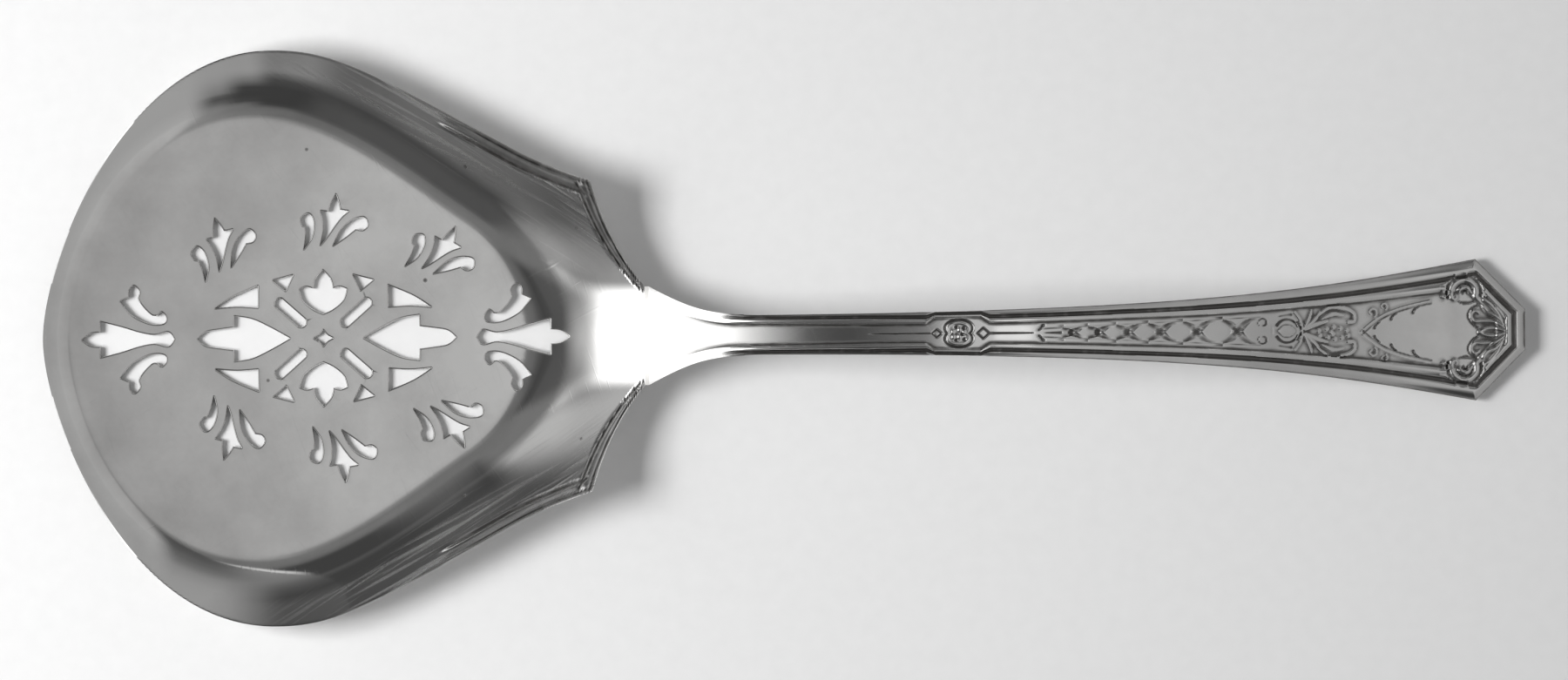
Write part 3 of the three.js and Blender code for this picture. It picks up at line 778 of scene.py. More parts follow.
def panel_strokes(strokes):
    """Medallion between two diamonds, and the line on the axis each side of them."""
    turn = np.radians(np.arange(-38, 218, 2))
    lobe = np.stack([1.18 * np.cos(turn), 0.44 + 0.72 * np.sin(turn)], 1)
    for size, width, rise in ((1, 0.13, -0.13), (0.76, 0.14, 0.06)):
        for side in (1, -1):
            strokes.path(lobe * (size, size * side) + (MEDALLION_X, 0), width, rise)
    for x, y in MEDALLION_BOSSES:
        strokes.path([(MEDALLION_X + x, y)], 0.22, 0.12)
    for x, y in MEDALLION_PITS:
        strokes.path([(MEDALLION_X + x, y)], 0.17, -0.14)
    for x, half, tall in ((12.85, 0.4, 0.34), (16.75, 0.5, 0.46)):
        corners = [(x - half, 0), (x, tall), (x + half, 0), (x, -tall), (x - half, 0)]
        strokes.sharp(corners, 0.1, -0.13)
    strokes.curve([(7.3, 0), (12.4, 0)], (0.03, 0.09), -0.08)
    strokes.curve([(17.3, 0), (20.95, 0)], (0.11, 0.06), -0.1)
    strokes.both([(21.42, 0.2), (21.8, 0.62)], (0.08, 0.15), -0.13)
    strokes.curve([(22.0, 0), (23.3, 0)], (0.03, 0.17), -0.09)


def field_line(x):
    """Half height of the latticed field."""
    return LATTICE_HALF_HEIGHT + LATTICE_WIDENING * (np.asarray(x, float) - LATTICE_START)


def lattice_strokes(strokes):
    """Fine lines along both sides of the latticed field."""
    x = np.arange(FIELD_START, FIELD_END, Strokes.SPACING)
    for side in (1, -1):
        strokes.path(np.stack([x, side * field_line(x)], 1), 0.07, -0.05)


def scrollwork_strokes(strokes):
    """Scrolls, boss, palmette and leaves between the lattice and the plain shield."""
    strokes.scroll((40.75, 0.72), (0.42, 0.26), (215, -70), (0.06, 0.12), -0.1, 0)
    strokes.curve([(41.75, 0.3), (41.75, -0.25)], 0.1, 0.05)
    strokes.curve([(42.5, 0), (43.3, 0)], (0.66, 0.7, 0.45), 0.13)
    strokes.scroll((42.85, 0), (0.98, 1.0), (20, 150), (0.07, 0.17), -0.13, 0)
    strokes.both([(42.2, 1.25), (43.2, 1.38)], (0.08, 0.2), -0.07)
    strokes.both([(43.55, 1.6), (44.05, 0.9), (44.2, 0)], (0.14, 0.17), 0.11)
    strokes.both([(43.75, 0.75), (44.15, 0.15)], 0.1, -0.1)
    leaves = [
        [(44.35, 0.15), (44.75, 0.95), (45.0, 1.75)],
        [(44.4, 0.12), (45.2, 0.85), (45.75, 1.6)],
        [(44.45, 0.08), (45.4, 0.55), (46.4, 0.85)],
    ]
    for leaf in leaves:
        strokes.both(leaf, (0.08, 0.24, 0.12), 0.13, -0.05)
    wing = [(45.5, 1.25), (46.6, 2.0), (47.8, 1.95), (48.7, 1.45), (48.75, 0.85), (48.2, 0.72)]
    strokes.both(wing, (0.12, 0.24, 0.18), 0.13, -0.1)
    strokes.both([(45.9, 1.0), (46.9, 1.42), (47.8, 1.3)], (0.08, 0.22, 0.1), 0.12, -0.1)
    grains = ((45.65, 0.1), (46.35, 0.25), (46.95, 0.42), (47.55, 0.3), (46.75, -0.02), (48.1, 0.12))
    for x, y in grains:
        strokes.path([(x, y - 0.1)], 0.24, 0.13)
        strokes.path([(x + 0.12, -y - 0.3)], 0.24, 0.13)
    strokes.scroll((50.35, 1.55), (0.42, 0.18), (-60, 250), (0.14, 0.1), 0.1, SHIELD_MIDDLE)
    strokes.scroll((51.35, 2.05), (0.32, 0.16), (-60, 250), (0.12, 0.09), 0.1, SHIELD_MIDDLE)


def shield_strokes(strokes):
    """Edges of the plain shield and the small leaves along them."""
    edge = [(49.35, SHIELD_MIDDLE), (50.3, 0.65), (51.5, 1.4), (53.2, 2.0), (55.4, 2.5)]
    strokes.both(edge, (0.16, 0.12), 0.07, SHIELD_MIDDLE)
    strokes.both([(x + 0.12, y - 0.2) for x, y in edge], (0.1, 0.06), -0.05, SHIELD_MIDDLE)
    for x, y in ((50.55, 0.5), (52.0, 1.25), (53.9, 1.8)):
        leaf = [(x - 0.05, y - 0.3), (x + 0.1, y), (x + 0.45, y + 0.22)]
        strokes.both(leaf, (0.14, 0.05), -0.12, SHIELD_MIDDLE)


def corner_strokes(strokes):
    """Shell scrolls in the corners of the tip, and the leaves between them."""
    strokes.scroll((58.3, 3.2), (1.08, 1.06), (200, -20), 0.27, 0.1, 0)
    strokes.scroll((57.5, 2.85), (0.26, 0.14), (200, 420), (0.2, 0.12), 0.1, 0)
    strokes.scroll((58.3, 3.2), (1.48, 1.46), (195, -10), 0.18, -0.15, 0)
    strokes.scroll((58.32, 3.2), (0.74, 0.72), (170, 10), (0.06, 0.11, 0.06), -0.12, 0)
    strokes.scroll((58.35, 3.15), (0.48, 0.46), (165, 15), 0.13, 0.1, 0)
    strokes.scroll((58.35, 3.15), (0.2, 0.2), (180, 0), 0.1, -0.1, 0)
    strokes.both([(57.75, 2.42), (58.4, 2.3), (59.1, 2.42)], (0.05, 0.12, 0.05), -0.08)
    strokes.scroll((60.15, 3.05), (0.3, 0.12), (90, 330), (0.2, 0.12), 0.1, 0)
    fronds = [
        [(61.75, -0.1), (60.9, 0.12), (60.1, 0.05), (59.55, -0.25)],
        [(61.7, 0.15), (60.9, 0.65), (59.9, 0.75), (59.15, 0.75), (58.85, 1.2), (59.15, 1.62), (59.55, 1.45)],
        [(61.65, 0.4), (61.0, 1.15), (60.3, 1.45), (59.9, 1.95)],
        [(61.55, 0.7), (61.05, 1.55), (60.5, 2.2), (60.0, 2.55)],
        [(61.7, 1.0), (61.4, 1.45), (61.0, 1.95)],
    ]
    for frond in fronds:
        strokes.both(frond, (0.12, 0.22, 0.16), 0.11, FROND_MIDDLE)
    outline = [(59.45, 0.15), (59.0, 0.45), (58.6, 1.15), (58.85, 1.8), (59.4, 2.1)]
    strokes.both(outline, 0.09, -0.1, FROND_MIDDLE)


def cross_object():
    """One crossing of the lattice, one unit to each side, with arms that bend level at their ends."""
    cross = Strokes()
    unit = 1 / MM
    at = np.linspace(-1, 1, CROSS_STEPS)
    rise = np.interp(np.abs(at), CROSS_PARTS, CROSS_RISES)
    arm = np.sin(np.clip(at / CROSS_ARM_END, -1, 1) * math.pi / 2)
    for side in (1, -1):
        cross.path(np.stack([at, side * arm], 1) * unit, CROSS_HALF_WIDTHS, rise)
    return cross.mesh_object("crossing")


def join_strokes(first, second):
    """One object with the vertices and values of both sets of strokes."""
    both = (first, second)
    places = [list(vertex.co) for source in both for vertex in source.data.vertices]
    strokes = new_object("struck_lines", places, [])
    for name in ("half_width", "rise"):
        values = [get_attribute(source.data, name) for source in both]
        set_attribute(strokes.data, name, np.concatenate(values))
    for source in both:
        remove(source)
    return strokes


def handle_strokes(shape, silver):
    """Every stroke of the handle. The row of crossings is laid out by its node tree."""
    strokes = Strokes()
    border_strokes(shape, strokes)
    for draw in (panel_strokes, lattice_strokes, scrollwork_strokes, shield_strokes, corner_strokes):
        draw(strokes)
    crossings = cross_object()
    add_modifier(
        crossings,
        lattice_tree(),
        Count=LATTICE_COUNT,
        Start=LATTICE_START * MM,
        Spacing=LATTICE_SPACING * MM,
        Growth=LATTICE_GROWTH,
        First_half_height=LATTICE_HALF_HEIGHT * MM,
        Widening=LATTICE_WIDENING,
        Silver=silver,
    )
    bake_modifiers(crossings)
    return join_strokes(strokes.mesh_object("drawn_lines"), crossings)


# Bowl


def mirrored(half, flip_x, flip_y):
    """A whole outline from the half of it that starts and ends on the mirror line."""
    return half + [(x * flip_x, y * flip_y, *sharp) for x, y, *sharp in reversed(half[1:-1])]


# Pierced outlines in millimetres, from the middle of the pattern or the foot of a lily
SHARP = True
CENTRE_DIAMOND = mirrored(
    [(0.82, 0, SHARP), (0.33, 0.28), (0, 0.7, SHARP), (-0.33, 0.28), (-0.82, 0, SHARP)], 1, -1
)
BUD = mirrored(
    [
        (0, 5.84, SHARP), (0.62, 5.1), (0.85, 4.25, SHARP), (1.45, 4.4), (2.02, 4.2, SHARP), (1.7, 3.25),
        (0.85, 2.5), (0, 2.1, SHARP),
    ],
    -1,
    1,
)
LEAF = mirrored(
    [
        (11.08, 0, SHARP), (10.36, 0.58), (9.1, 0.8), (7.95, 0.95, SHARP), (7.93, 1.92, SHARP),
        (6.4, 1.65), (4.85, 0.93), (3.18, 0, SHARP),
    ],
    1,
    -1,
)
LONG_TRIANGLE = [(9.26, 2.62, SHARP), (7.75, 3.58), (5.59, 4.52, SHARP), (5.62, 2.66, SHARP), (7.45, 2.77)]
SHORT_TRIANGLE = [(2.58, 5.43, SHARP), (4.3, 4.98, SHARP), (3.22, 4.08, SHARP)]
END_LILY = mirrored(
    [
        (20.7, 0, SHARP), (19.95, 0.5), (19.1, 0.6, SHARP), (19.1, 1.52, SHARP), (17.35, 1.06),
        (15.75, 0.57), (14.45, 0.36), (13.3, 0.6), (12.8, 0, SHARP),
    ],
    1,
    -1,
)
END_SCROLL = [
    (17.39, 3.28, SHARP), (16.62, 3.62, SHARP), (16.6, 4.25), (16.2, 4.6), (15.75, 4.1),
    (15.85, 3.45), (15.39, 2.72), (14.7, 2.06), (14.25, 2.02, SHARP), (13.85, 2.32), (13.47, 1.85),
    (13.65, 1.38), (14.53, 1.29), (15.52, 1.6), (16.52, 2.22),
]
LILY_HEART = [
    (0, 0, SHARP), (0.28, 0.7), (0.66, 2), (0.94, 2.8), (1.36, 3.52, SHARP), (0.64, 3.4, SHARP),
    (0.3, 4), (-0.12, 4.55, SHARP), (-0.25, 3.7), (-0.26, 2.9, SHARP), (-0.9, 2.78, SHARP),
    (-0.45, 2.05), (-0.13, 1.16),
]
LILY_LEFT = [
    (-1.22, -0.8, SHARP), (-0.92, 0.31), (-1.01, 1.2), (-1.31, 1.9), (-1.8, 2.23), (-2.3, 1.7),
    (-2.05, 1.14), (-1.73, 1.07, SHARP), (-1.43, 0.34),
]
LILY_RIGHT = [
    (1.04, 0.28, SHARP), (1.8, 1.29), (2.45, 2.28, SHARP), (3.06, 2.39), (3.29, 2.92), (2.78, 3.44),
    (1.87, 2.82), (1.27, 1.75),
]
LILIES = [((-8.9, 5.8), -3), ((-0.2, 8), 19), ((8.5, 5.95), 41)]
BAR_INNER, BAR_OUTER, BAR_WIDTH = (1.9, 1.38), (3.72, 3), 0.85
BAR_END_STEPS = 14
PATTERN_FROM_FRONT = 23.95
LEAF_OFFSET, REAR_LILY_OFFSET, LOWER_ROW_OFFSET = 0.3, 0.4, 0.65
PIERCE_SPACING = 0.11

# Corners sharper than this cosine get a fan of ring points, which keep most of their distance
SHARP_COSINE = 0.9
RING_ROOM = 0.92


def outline_loop(outline, place):
    """A closed loop through the points, smooth between the sharp ones."""
    placed = [(place(np.array(point[:2], float)), len(point) > 2) for point in outline]
    loop, run = [], []
    for at, sharp in placed + placed[:1]:
        run.append(at)
        if sharp and len(run) > 1:
            loop.append(through(run, PIERCE_SPACING)[:-1])
            run = [at]
    return np.vstack(loop)


def bar_loop(inner, outer):
    """A straight slot with round ends."""
    along = math.atan2(outer[1] - inner[1], outer[0] - inner[0])
    loop = []
    for end, start in ((inner, along + math.pi / 2), (outer, along - math.pi / 2)):
        turn = np.linspace(start, start + math.pi, BAR_END_STEPS)
        loop.append(np.stack([np.cos(turn), np.sin(turn)], 1) * BAR_WIDTH / 2 + end)
    corners = np.vstack(loop)
    return through(np.vstack([corners, corners[:1]]), PIERCE_SPACING)[:-1]


def pierced_loops(shape):
    """Every pierced outline in the frame's metres, running anticlockwise."""
    loops = []

    def cut(outline, place):
        loops.append(outline_loop(outline, place))

    cut(CENTRE_DIAMOND, lambda at: at)
    for flip_x in (1, -1):
        end_offset = REAR_LILY_OFFSET if flip_x > 0 else 0
        cut(BUD, lambda at: at * (1, flip_x))
        cut(LEAF, lambda at: at * (flip_x, 1) + (LEAF_OFFSET, 0))
        cut(END_LILY, lambda at: at * (flip_x, 1) + (end_offset, 0))
        for flip_y in (1, -1):
            flip = np.array((flip_x, flip_y))
            cut(LONG_TRIANGLE, lambda at: at * flip)
            cut(SHORT_TRIANGLE, lambda at: at * flip)
            cut(END_SCROLL, lambda at: at * flip + (end_offset, 0))
            loops.append(bar_loop(BAR_INNER * flip, BAR_OUTER * flip))
    for flip_y in (1, -1):
        row_offset = LOWER_ROW_OFFSET if flip_y < 0 else 0
        for foot, lean in LILIES:
            turn = math.radians(-lean)
            spin = np.array(((math.cos(turn), math.sin(turn)), (-math.sin(turn), math.cos(turn))))
            for outline in (LILY_HEART, LILY_LEFT, LILY_RIGHT):
                cut(outline, lambda at: (at @ spin + foot) * (1, flip_y) + (row_offset, 0))
    centre = np.array((shape.front / MM + PATTERN_FROM_FRONT, 0))
    turned = []
    for loop in loops:
        after = np.roll(loop, -1, axis=0)
        area = np.sum(loop[:, 0] * after[:, 1] - after[:, 0] * loop[:, 1])
        turned.append(((loop if area > 0 else loop[::-1]) + centre) * MM)
    return turned


def inside(loop, points):
    """Which points lie inside a closed loop."""
    x, y = points[:, 0][:, None], points[:, 1][:, None]
    a, b = loop, np.roll(loop, -1, axis=0)
    spans = (a[:, 1] > y) != (b[:, 1] > y)
    rise = np.where(b[:, 1] == a[:, 1], 1, b[:, 1] - a[:, 1])
    crossing = a[:, 0] + (y - a[:, 1]) / rise * (b[:, 0] - a[:, 0])
    return np.sum(spans & (x < crossing), axis=1) % 2 == 1


def pierced(loops, points):
    """Which points lie in any of the openings."""
    found = np.zeros(len(points), bool)
    for loop in loops:
        near = np.all((points > loop.min(0)) & (points < loop.max(0)), axis=1)
        if near.any():
            found[near] |= inside(loop, points[near])
    return found


def distance_to(loops, points):
    """Distance to the nearest point of the loops."""
    samples = np.vstack(loops)
    tree = kdtree.KDTree(len(samples))
    for i, (x, y) in enumerate(samples):
        tree.insert((x, y, 0), i)
    tree.balance()
    return np.array([tree.find((x, y, 0))[2] for x, y in points])


def rings_round(loops, distances):
    """Points at set distances outside the pierced outlines, for their rounded edges."""
    rings = []
    for loop in loops:
        before, after = np.roll(loop, 1, axis=0), np.roll(loop, -1, axis=0)
        along = (loop - before) / np.linalg.norm(loop - before, axis=1)[:, None]
        onward = (after - loop) / np.linalg.norm(after - loop, axis=1)[:, None]
        at_corner = np.sum(along * onward, axis=1) < SHARP_COSINE
        everywhere = np.ones(len(loop), bool)
        for far in distances:
            for part, chosen in ((0.0, at_corner), (0.5, everywhere), (1.0, at_corner)):
                aim = along * (1 - part) + onward * part
                aim = aim / np.linalg.norm(aim, axis=1)[:, None]
                out = np.stack([aim[:, 1], -aim[:, 0]], 1)
                ring = (loop + out * far)[chosen]
                rings.append(ring[distance_to(loops, ring) > far * RING_ROOM])
    return np.vstack(rings)


def thin_out(points, spacing):
    """Drops points that lie closer than the spacing to one kept before."""
    cells, kept = {}, []
    for i, (x, y) in enumerate(points):
        column, row = int(x // spacing), int(y // spacing)
        around = [(column + dx, row + dy) for dx in (-1, 0, 1) for dy in (-1, 0, 1)]
        near = [j for cell in around for j in cells.get(cell, ())]
        if all((points[j][0] - x) ** 2 + (points[j][1] - y) ** 2 > spacing**2 for j in near):
            cells.setdefault((column, row), []).append(i)
            kept.append(i)
    return points[kept]


# Room for rounding where a ray meets the rim
NOUGHT, HIT_SLACK, TURN_SLACK = 1e-12, 1e-6, 1e-9


def reach_to(rim, start, out):
    """Distance from each start along its direction to the rim."""
    a, edge = rim[:-1], rim[1:] - rim[:-1]
    reaches = []
    for origin, aim in zip(start, out):
        gap = a - origin
        turn = aim[0] * edge[:, 1] - aim[1] * edge[:, 0]
        turn = np.where(turn == 0, NOUGHT, turn)
        along = (gap[:, 0] * edge[:, 1] - gap[:, 1] * edge[:, 0]) / turn
        across = (gap[:, 0] * aim[1] - gap[:, 1] * aim[0]) / turn
        hit = (along > 0) & (across >= -HIT_SLACK) & (across <= 1 + HIT_SLACK)
        reaches.append(along[hit].min())
    return np.array(reaches)


# Rays along the floor's edge and in the three stretches of the heel, and rings from floor to rim
FLOOR_STEPS = 72
HEEL_STEPS = (26, 36, 13)
WALL_RINGS = 20
BORDER_RINGS = 24
BORDER = 2.0 * MM
LEAST_FOOT = 0.4
COARSE_RINGS = (0, 0.2, 0.4, 0.55, 0.7, 0.82, 0.91, 0.96, 1)

# Spacing of the points on each face's floor and round its piercings, and the rings of the worn edges
UPPER_SPACING, UPPER_EDGE_SPACING, UPPER_WEAR = 0.8 * MM, 0.03 * MM, (0.12, 0.3, 0.55, 0.85, 1.3)
LOWER_SPACING, LOWER_EDGE_SPACING, LOWER_WEAR = 1.6 * MM, 0.08 * MM, (0.5, 1)
EDGE_ZONE = 1.2
FILL_SLACK = 1e-6


def wall_rays(shape):
    """Rays from the edge of the floor to the rim, right round the bowl."""
    bowl = shape.bowl
    rim = np.vstack(shape.rim_half())
    start = shape.floor_half(FLOOR_STEPS)
    along = np.gradient(start, axis=0)
    along[0] = (0, 1)
    along /= np.linalg.norm(along, axis=1)[:, None]
    start, along = start[:-1], along[:-1]
    out = np.stack([-along[:, 1], along[:, 0]], 1)
    ear = math.atan2(bowl.ear_half_width, shape.seam - bowl.ear - shape.fan)
    neck = math.atan2(shape.handle.neck_half_width, shape.bowl_end - shape.fan)
    keys = (bowl.heel_spread, ear, neck, 0)
    turns = [np.linspace(a, b, n, endpoint=False) for a, b, n in zip(keys, keys[1:], HEEL_STEPS)]
    turn = np.append(np.concatenate(turns), 0)
    heel_out = np.stack([np.cos(turn), np.sin(turn)], 1)
    heel_start = heel_out * bowl.heel_radius + (shape.fan, 0)
    to_seam = turn <= neck + TURN_SLACK
    reach = np.empty(len(start) + len(turn))
    reach[0] = bowl.front_lip
    reach[1 : len(start)] = reach_to(rim, start[1:], out[1:])
    heel_reach = np.where(to_seam, (shape.bowl_end - shape.fan) / heel_out[:, 0] - bowl.heel_radius, 0)
    heel_reach[~to_seam] = reach_to(rim, heel_start[~to_seam], heel_out[~to_seam])
    reach[len(start) :] = heel_reach
    start, out = np.vstack([start, heel_start]), np.vstack([out, heel_out])
    behind = np.arange(len(start)) >= len(start) - len(turn)
    seam = np.concatenate([np.zeros(len(start) - len(turn), bool), to_seam])
    back = slice(-2, 0, -1)
    mirror = np.array((1, -1))
    return (
        np.vstack([start, start[back] * mirror]),
        np.vstack([out, out[back] * mirror]),
        np.concatenate([reach, reach[back]]),
        np.concatenate([behind, behind[back]]),
        np.concatenate([seam, seam[back]]),
    )


def wall_grid(shape, rays, distances):
    """Plan points and heights on every ray, ring by ring."""
    start, out, reach, behind, _ = rays
    points, top, bottom = [], [], []
    for far in distances(reach):
        place = start + out * far[:, None]
        x, y = place.T
        points.append(place)
        upper = np.where(behind, shape.fan_height(x, y), shape.wall_height(far))
        top.append(upper - shape.hollowed(x, y))
        bottom.append(np.where(behind, shape.fan_under(x, y, shape.bowl.sheet), shape.wall_under(far)))
    return np.array(points), np.array(top), np.array(bottom)


def floor_heights(shape, points):
    """Heights on the flat floor, and on the heel behind it."""
    x, y = points.T
    out = np.hypot(x - shape.fan, y) - shape.bowl.heel_radius
    around = np.arctan2(np.abs(y), x - shape.fan)
    rising = (around < shape.bowl.heel_spread) & (out > 0)
    top = np.where(rising, shape.fan_height(x, y), shape.bowl.sheet)
    return top - shape.hollowed(x, y), np.where(rising, shape.fan_under(x, y, shape.bowl.sheet), 0)


def fill(points, loops):
    """Triangles over all the points, inside the first loop of indices and outside the others."""
    edges = [(loop[i - 1], loop[i]) for loop in loops for i in range(len(loop))]
    vertices = [Vector(point) for point in points / MM]
    _, _, faces, origin, _, _ = geometry.delaunay_2d_cdt(vertices, edges, [], 1, FILL_SLACK)
    faces = np.array([[origin[i][0] for i in face] for face in faces])
    rim, *holes = [points[loop] for loop in loops]
    middles = points[faces].mean(1)
    kept = ~pierced(holes, middles)
    across_rim = np.all(faces < len(rim), axis=1)
    kept[across_rim] &= inside(rim, middles[across_rim])
    return faces[kept].tolist()


def one_side(shape, rays, loops, rings, spacing, edge_spacing, wear):
    """Points, heights and triangles of one face of the sheet. The rim loop comes first."""
    grid, top, bottom = wall_grid(shape, rays, rings)
    rim_points, rim_heights = grid[-1], (top[-1], bottom[-1])
    wall = grid[:-1].reshape(-1, 2)
    wall_heights = (top[:-1].ravel(), bottom[:-1].ravel())
    floor_edge = grid[0]
    low, high = floor_edge.min(0), floor_edge.max(0)
    mesh_x, mesh_y = np.meshgrid(*[np.arange(a, b, spacing) for a, b in zip(low, high)])
    floor = np.stack([mesh_x.ravel(), mesh_y.ravel()], 1)
    floor = floor[inside(floor_edge, floor)]
    floor = floor[distance_to([floor_edge], floor) > spacing / 2]
    ring_distances = [shape.bowl.worn_edge * part for part in wear]
    edge_zone = ring_distances[-1] * EDGE_ZONE

    def free(points):
        return ~pierced(loops, points) & (distance_to(loops, points) > edge_zone)

    kept_wall, kept_floor = free(wall), free(floor)
    around = rings_round(loops, ring_distances)
    around = thin_out(around[~pierced(loops, around)], edge_spacing)
    extra = np.vstack([*loops, floor[kept_floor], around])
    extra_heights = floor_heights(shape, extra)
    points = np.vstack([rim_points, extra, wall[kept_wall]])
    both = [
        np.concatenate([rim_heights[i], extra_heights[i], wall_heights[i][kept_wall]]) for i in (0, 1)
    ]
    loop_indices, start = [], 0
    for loop in (rim_points, *loops):
        loop_indices.append(list(range(start, start + len(loop))))
        start += len(loop)
    return points, both, loop_indices, fill(points, loop_indices)


def fine_rings(reach):
    """Rings on the upper face, closest together along the rim."""
    foot = np.maximum(reach - BORDER, reach * LEAST_FOOT)
    wall = [foot * (i / WALL_RINGS) for i in range(WALL_RINGS)]
    border = [foot + (reach - foot) * (i / BORDER_RINGS) for i in range(BORDER_RINGS + 1)]
    return wall + border


def coarse_rings(reach):
    """Rings on the lower face."""
    return [reach * part for part in COARSE_RINGS]


def bowl_object(shape, loops, rays):
    """The sheet: a fine upper face, a coarser lower one, and walls along the rim and the piercings."""
    upper, (top, _), edges, upper_faces = one_side(
        shape, rays, loops, fine_rings, UPPER_SPACING, UPPER_EDGE_SPACING, UPPER_WEAR
    )
    lower, (_, bottom), _, lower_faces = one_side(
        shape, rays, loops, coarse_rings, LOWER_SPACING, LOWER_EDGE_SPACING, LOWER_WEAR
    )
    count = len(upper)
    vertices = np.vstack([np.column_stack([upper, top]), np.column_stack([lower, bottom])])
    faces = [tuple(face) for face in upper_faces]
    faces += [tuple(count + i for i in reversed(face)) for face in lower_faces]
    for loop in edges:
        faces += [(loop[i - 1], loop[i], count + loop[i], count + loop[i - 1]) for i in range(len(loop))]
    bowl = new_object("bowl_silver", vertices, faces)
    turn_outwards(bowl.data)
    set_attribute(bowl.data, "face_up", np.concatenate([np.ones(count), -np.ones(len(lower))]))
    return bowl


def outline_object(name, loops, closed=True):
    vertices, edges = [], []
    for loop in loops:
        first = len(vertices)
        vertices += [(x, y, 0) for x, y in loop]
        edges += [(first + i, first + i + 1) for i in range(len(loop) - 1)]
        if closed:
            edges.append((first + len(loop) - 1, first))
    return new_object(name, vertices, [], edges)


def inset_curve(line, distance):
    """A line moved to its right by a distance at each point."""
    along = np.gradient(line, axis=0)
    along /= np.linalg.norm(along, axis=1)[:, None]
    return line + np.stack([along[:, 1], -along[:, 0]], 1) * distance[:, None]


# Seam to where the thread on the rear rim starts and where it has its full height
THREAD_START = 18 * MM
THREAD_FULL = 13 * MM

# Inset and half width in millimetres, and share of the thread's rise, of groove, thread and groove
RIM_LINES = ((0.3, 0.13, -0.8), (0.74, 0.32, 0.35), (1.16, 0.16, -0.9))
RIM_STEP = 0.05 * MM
NECK_NARROWING = 0.65
# Painted shade on the rear rim's border, as shares of the tarnish colour: far side, near side, and the width
# of its soft inner edge
FAR_BORDER_SHADE, NEAR_BORDER_SHADE, BORDER_SHADE_EDGE = 0.6, 0.2, 0.1 * MM


def rim_thread_strokes(shape):
    """A round thread between two grooves along the rear rim, narrowing from the ear to the neck."""
    strokes = Strokes()
    _, side, ear, rear = shape.rim_half()
    start, full = shape.seam - THREAD_START, shape.seam - THREAD_FULL
    side = side[side[:, 0] > start]
    thread_rise = shape.bowl.thread_rise / MM
    for line, neck_share in ((np.vstack([side, ear[1:]]), 1), (rear, 1 - NECK_NARROWING)):
        run = np.append(0, np.linalg.norm(np.diff(line, axis=0), axis=1).cumsum())
        count = int(run[-1] / RIM_STEP)
        stations = np.linspace(0, run[-1], count)
        even = np.stack([np.interp(stations, run, values) for values in line.T], 1)
        scale = np.linspace(1, neck_share, count)
        fade = smooth(even[:, 0], start, full)
        for inset, width, part in RIM_LINES:
            path = inset_curve(even, inset * scale * MM) / MM
            for mirror in (1, -1):
                strokes.path(path * (1, mirror), width * scale, thread_rise * part * fade)
    return strokes.mesh_object("rim_thread")


def flatten_border(shape, mesh):
    """Lowers the upper face along the rear rim, most at the rim itself, and gives the painted shade on it: a
    dark band, heavier on the far side than on the near side.
    """
    bowl = shape.bowl
    start, full = shape.seam - THREAD_START, shape.seam - THREAD_FULL
    rim = np.vstack(shape.rim_half()[1:])
    rim = rim[rim[:, 0] > start]
    rim = np.vstack([rim, rim * (1, -1)])
    place = np.empty(len(mesh.vertices) * 3)
    mesh.vertices.foreach_get("co", place)
    place = place.reshape(-1, 3)
    inset = distance_to([rim], place[:, :2])
    ear_x = shape.seam - bowl.ear
    width = bowl.border * (1 - NECK_NARROWING * smooth(place[:, 0], ear_x, shape.bowl_end))
    fade = smooth(place[:, 0], start, full)
    upper = get_attribute(mesh, "face_up") > 0
    place[:, 2] -= np.where(upper, bowl.border_slope * np.clip(width - inset, 0, None) * fade, 0)
    mesh.vertices.foreach_set("co", place.ravel())
    # Painted shade: the border takes the tarnish colour, more on the far side (+Y) than on the near side
    most = np.where(place[:, 1] > 0, FAR_BORDER_SHADE, NEAR_BORDER_SHADE)
    return np.where(upper, smooth(width - inset, 0, BORDER_SHADE_EDGE) * fade * most, 0)


# Materials

WEAR_NAME = "Fine wear"

# Turn in radians, width and length in millimetres, where the mask starts and ends, and its detail
SCRATCHES = ((0.5, 0.19, 6, 0.62, 0.78, 3), (-0.9, 0.16, 5, 0.62, 0.78, 3), (1.9, 0.23, 8, 0.62, 0.78, 3))
COARSE_STREAKS = (-0.5, 0.4, 14, 0.55, 0.75, 0.5)
FINE_STREAKS = (-0.58, 0.22, 9, 0.58, 0.75, 0.5)
BRUSHING = (-0.62, 0.16, 6, 0.35, 0.65, 1)
BRUSHING_LEAST = 0.4

# Where the marks on the walls come in: along the spoon, across it and above the table
STREAKS_X = (-46 * MM, -34 * MM)
STREAKS_Y = (5 * MM, 8 * MM)
STREAKS_Z = (1.2 * MM, 3.2 * MM)
BRUSHING_X = (-22 * MM, -14 * MM)
FLOOR_TOP = 0.9 * MM

# Pits sit in a few cells of a pattern, and the darkening is cloudy
PIT_CELLS, PIT_EDGE, PIT_BOTTOM, PIT_SHARE = 300.0, 0.075, 0.045, 0.7
CLOUD_SCALE, CLOUD_DETAIL, CLOUD_ROUGHNESS = 75.0, 7.0, 0.6
CLOUD_LEVELS, CLOUD_SWING = (0.3, 0.7), 0.3

# Depth of the marks, and how much each of them dulls the metal
SCRATCH_DEPTH, BRUSHING_DEPTH = -0.35, -0.9
SCRATCH_DULLNESS, STREAK_DULLNESS, DARKENING_DULLNESS = 0.05, 0.34, 0.05


def streak_noise(tree, place, turn, across, along, low, high, detail):
    """Long thin marks at one angle, as a mask."""
    turned = add_node(
        tree,
        "ShaderNodeMapping",
        {"Vector": place, "Rotation": (0, 0, turn), "Scale": (along * MM, across * MM, along * MM)},
        vector_type="TEXTURE",
    ).outputs[0]
    return ramp(tree, noise(tree, turned, 1.0, detail), low, high)


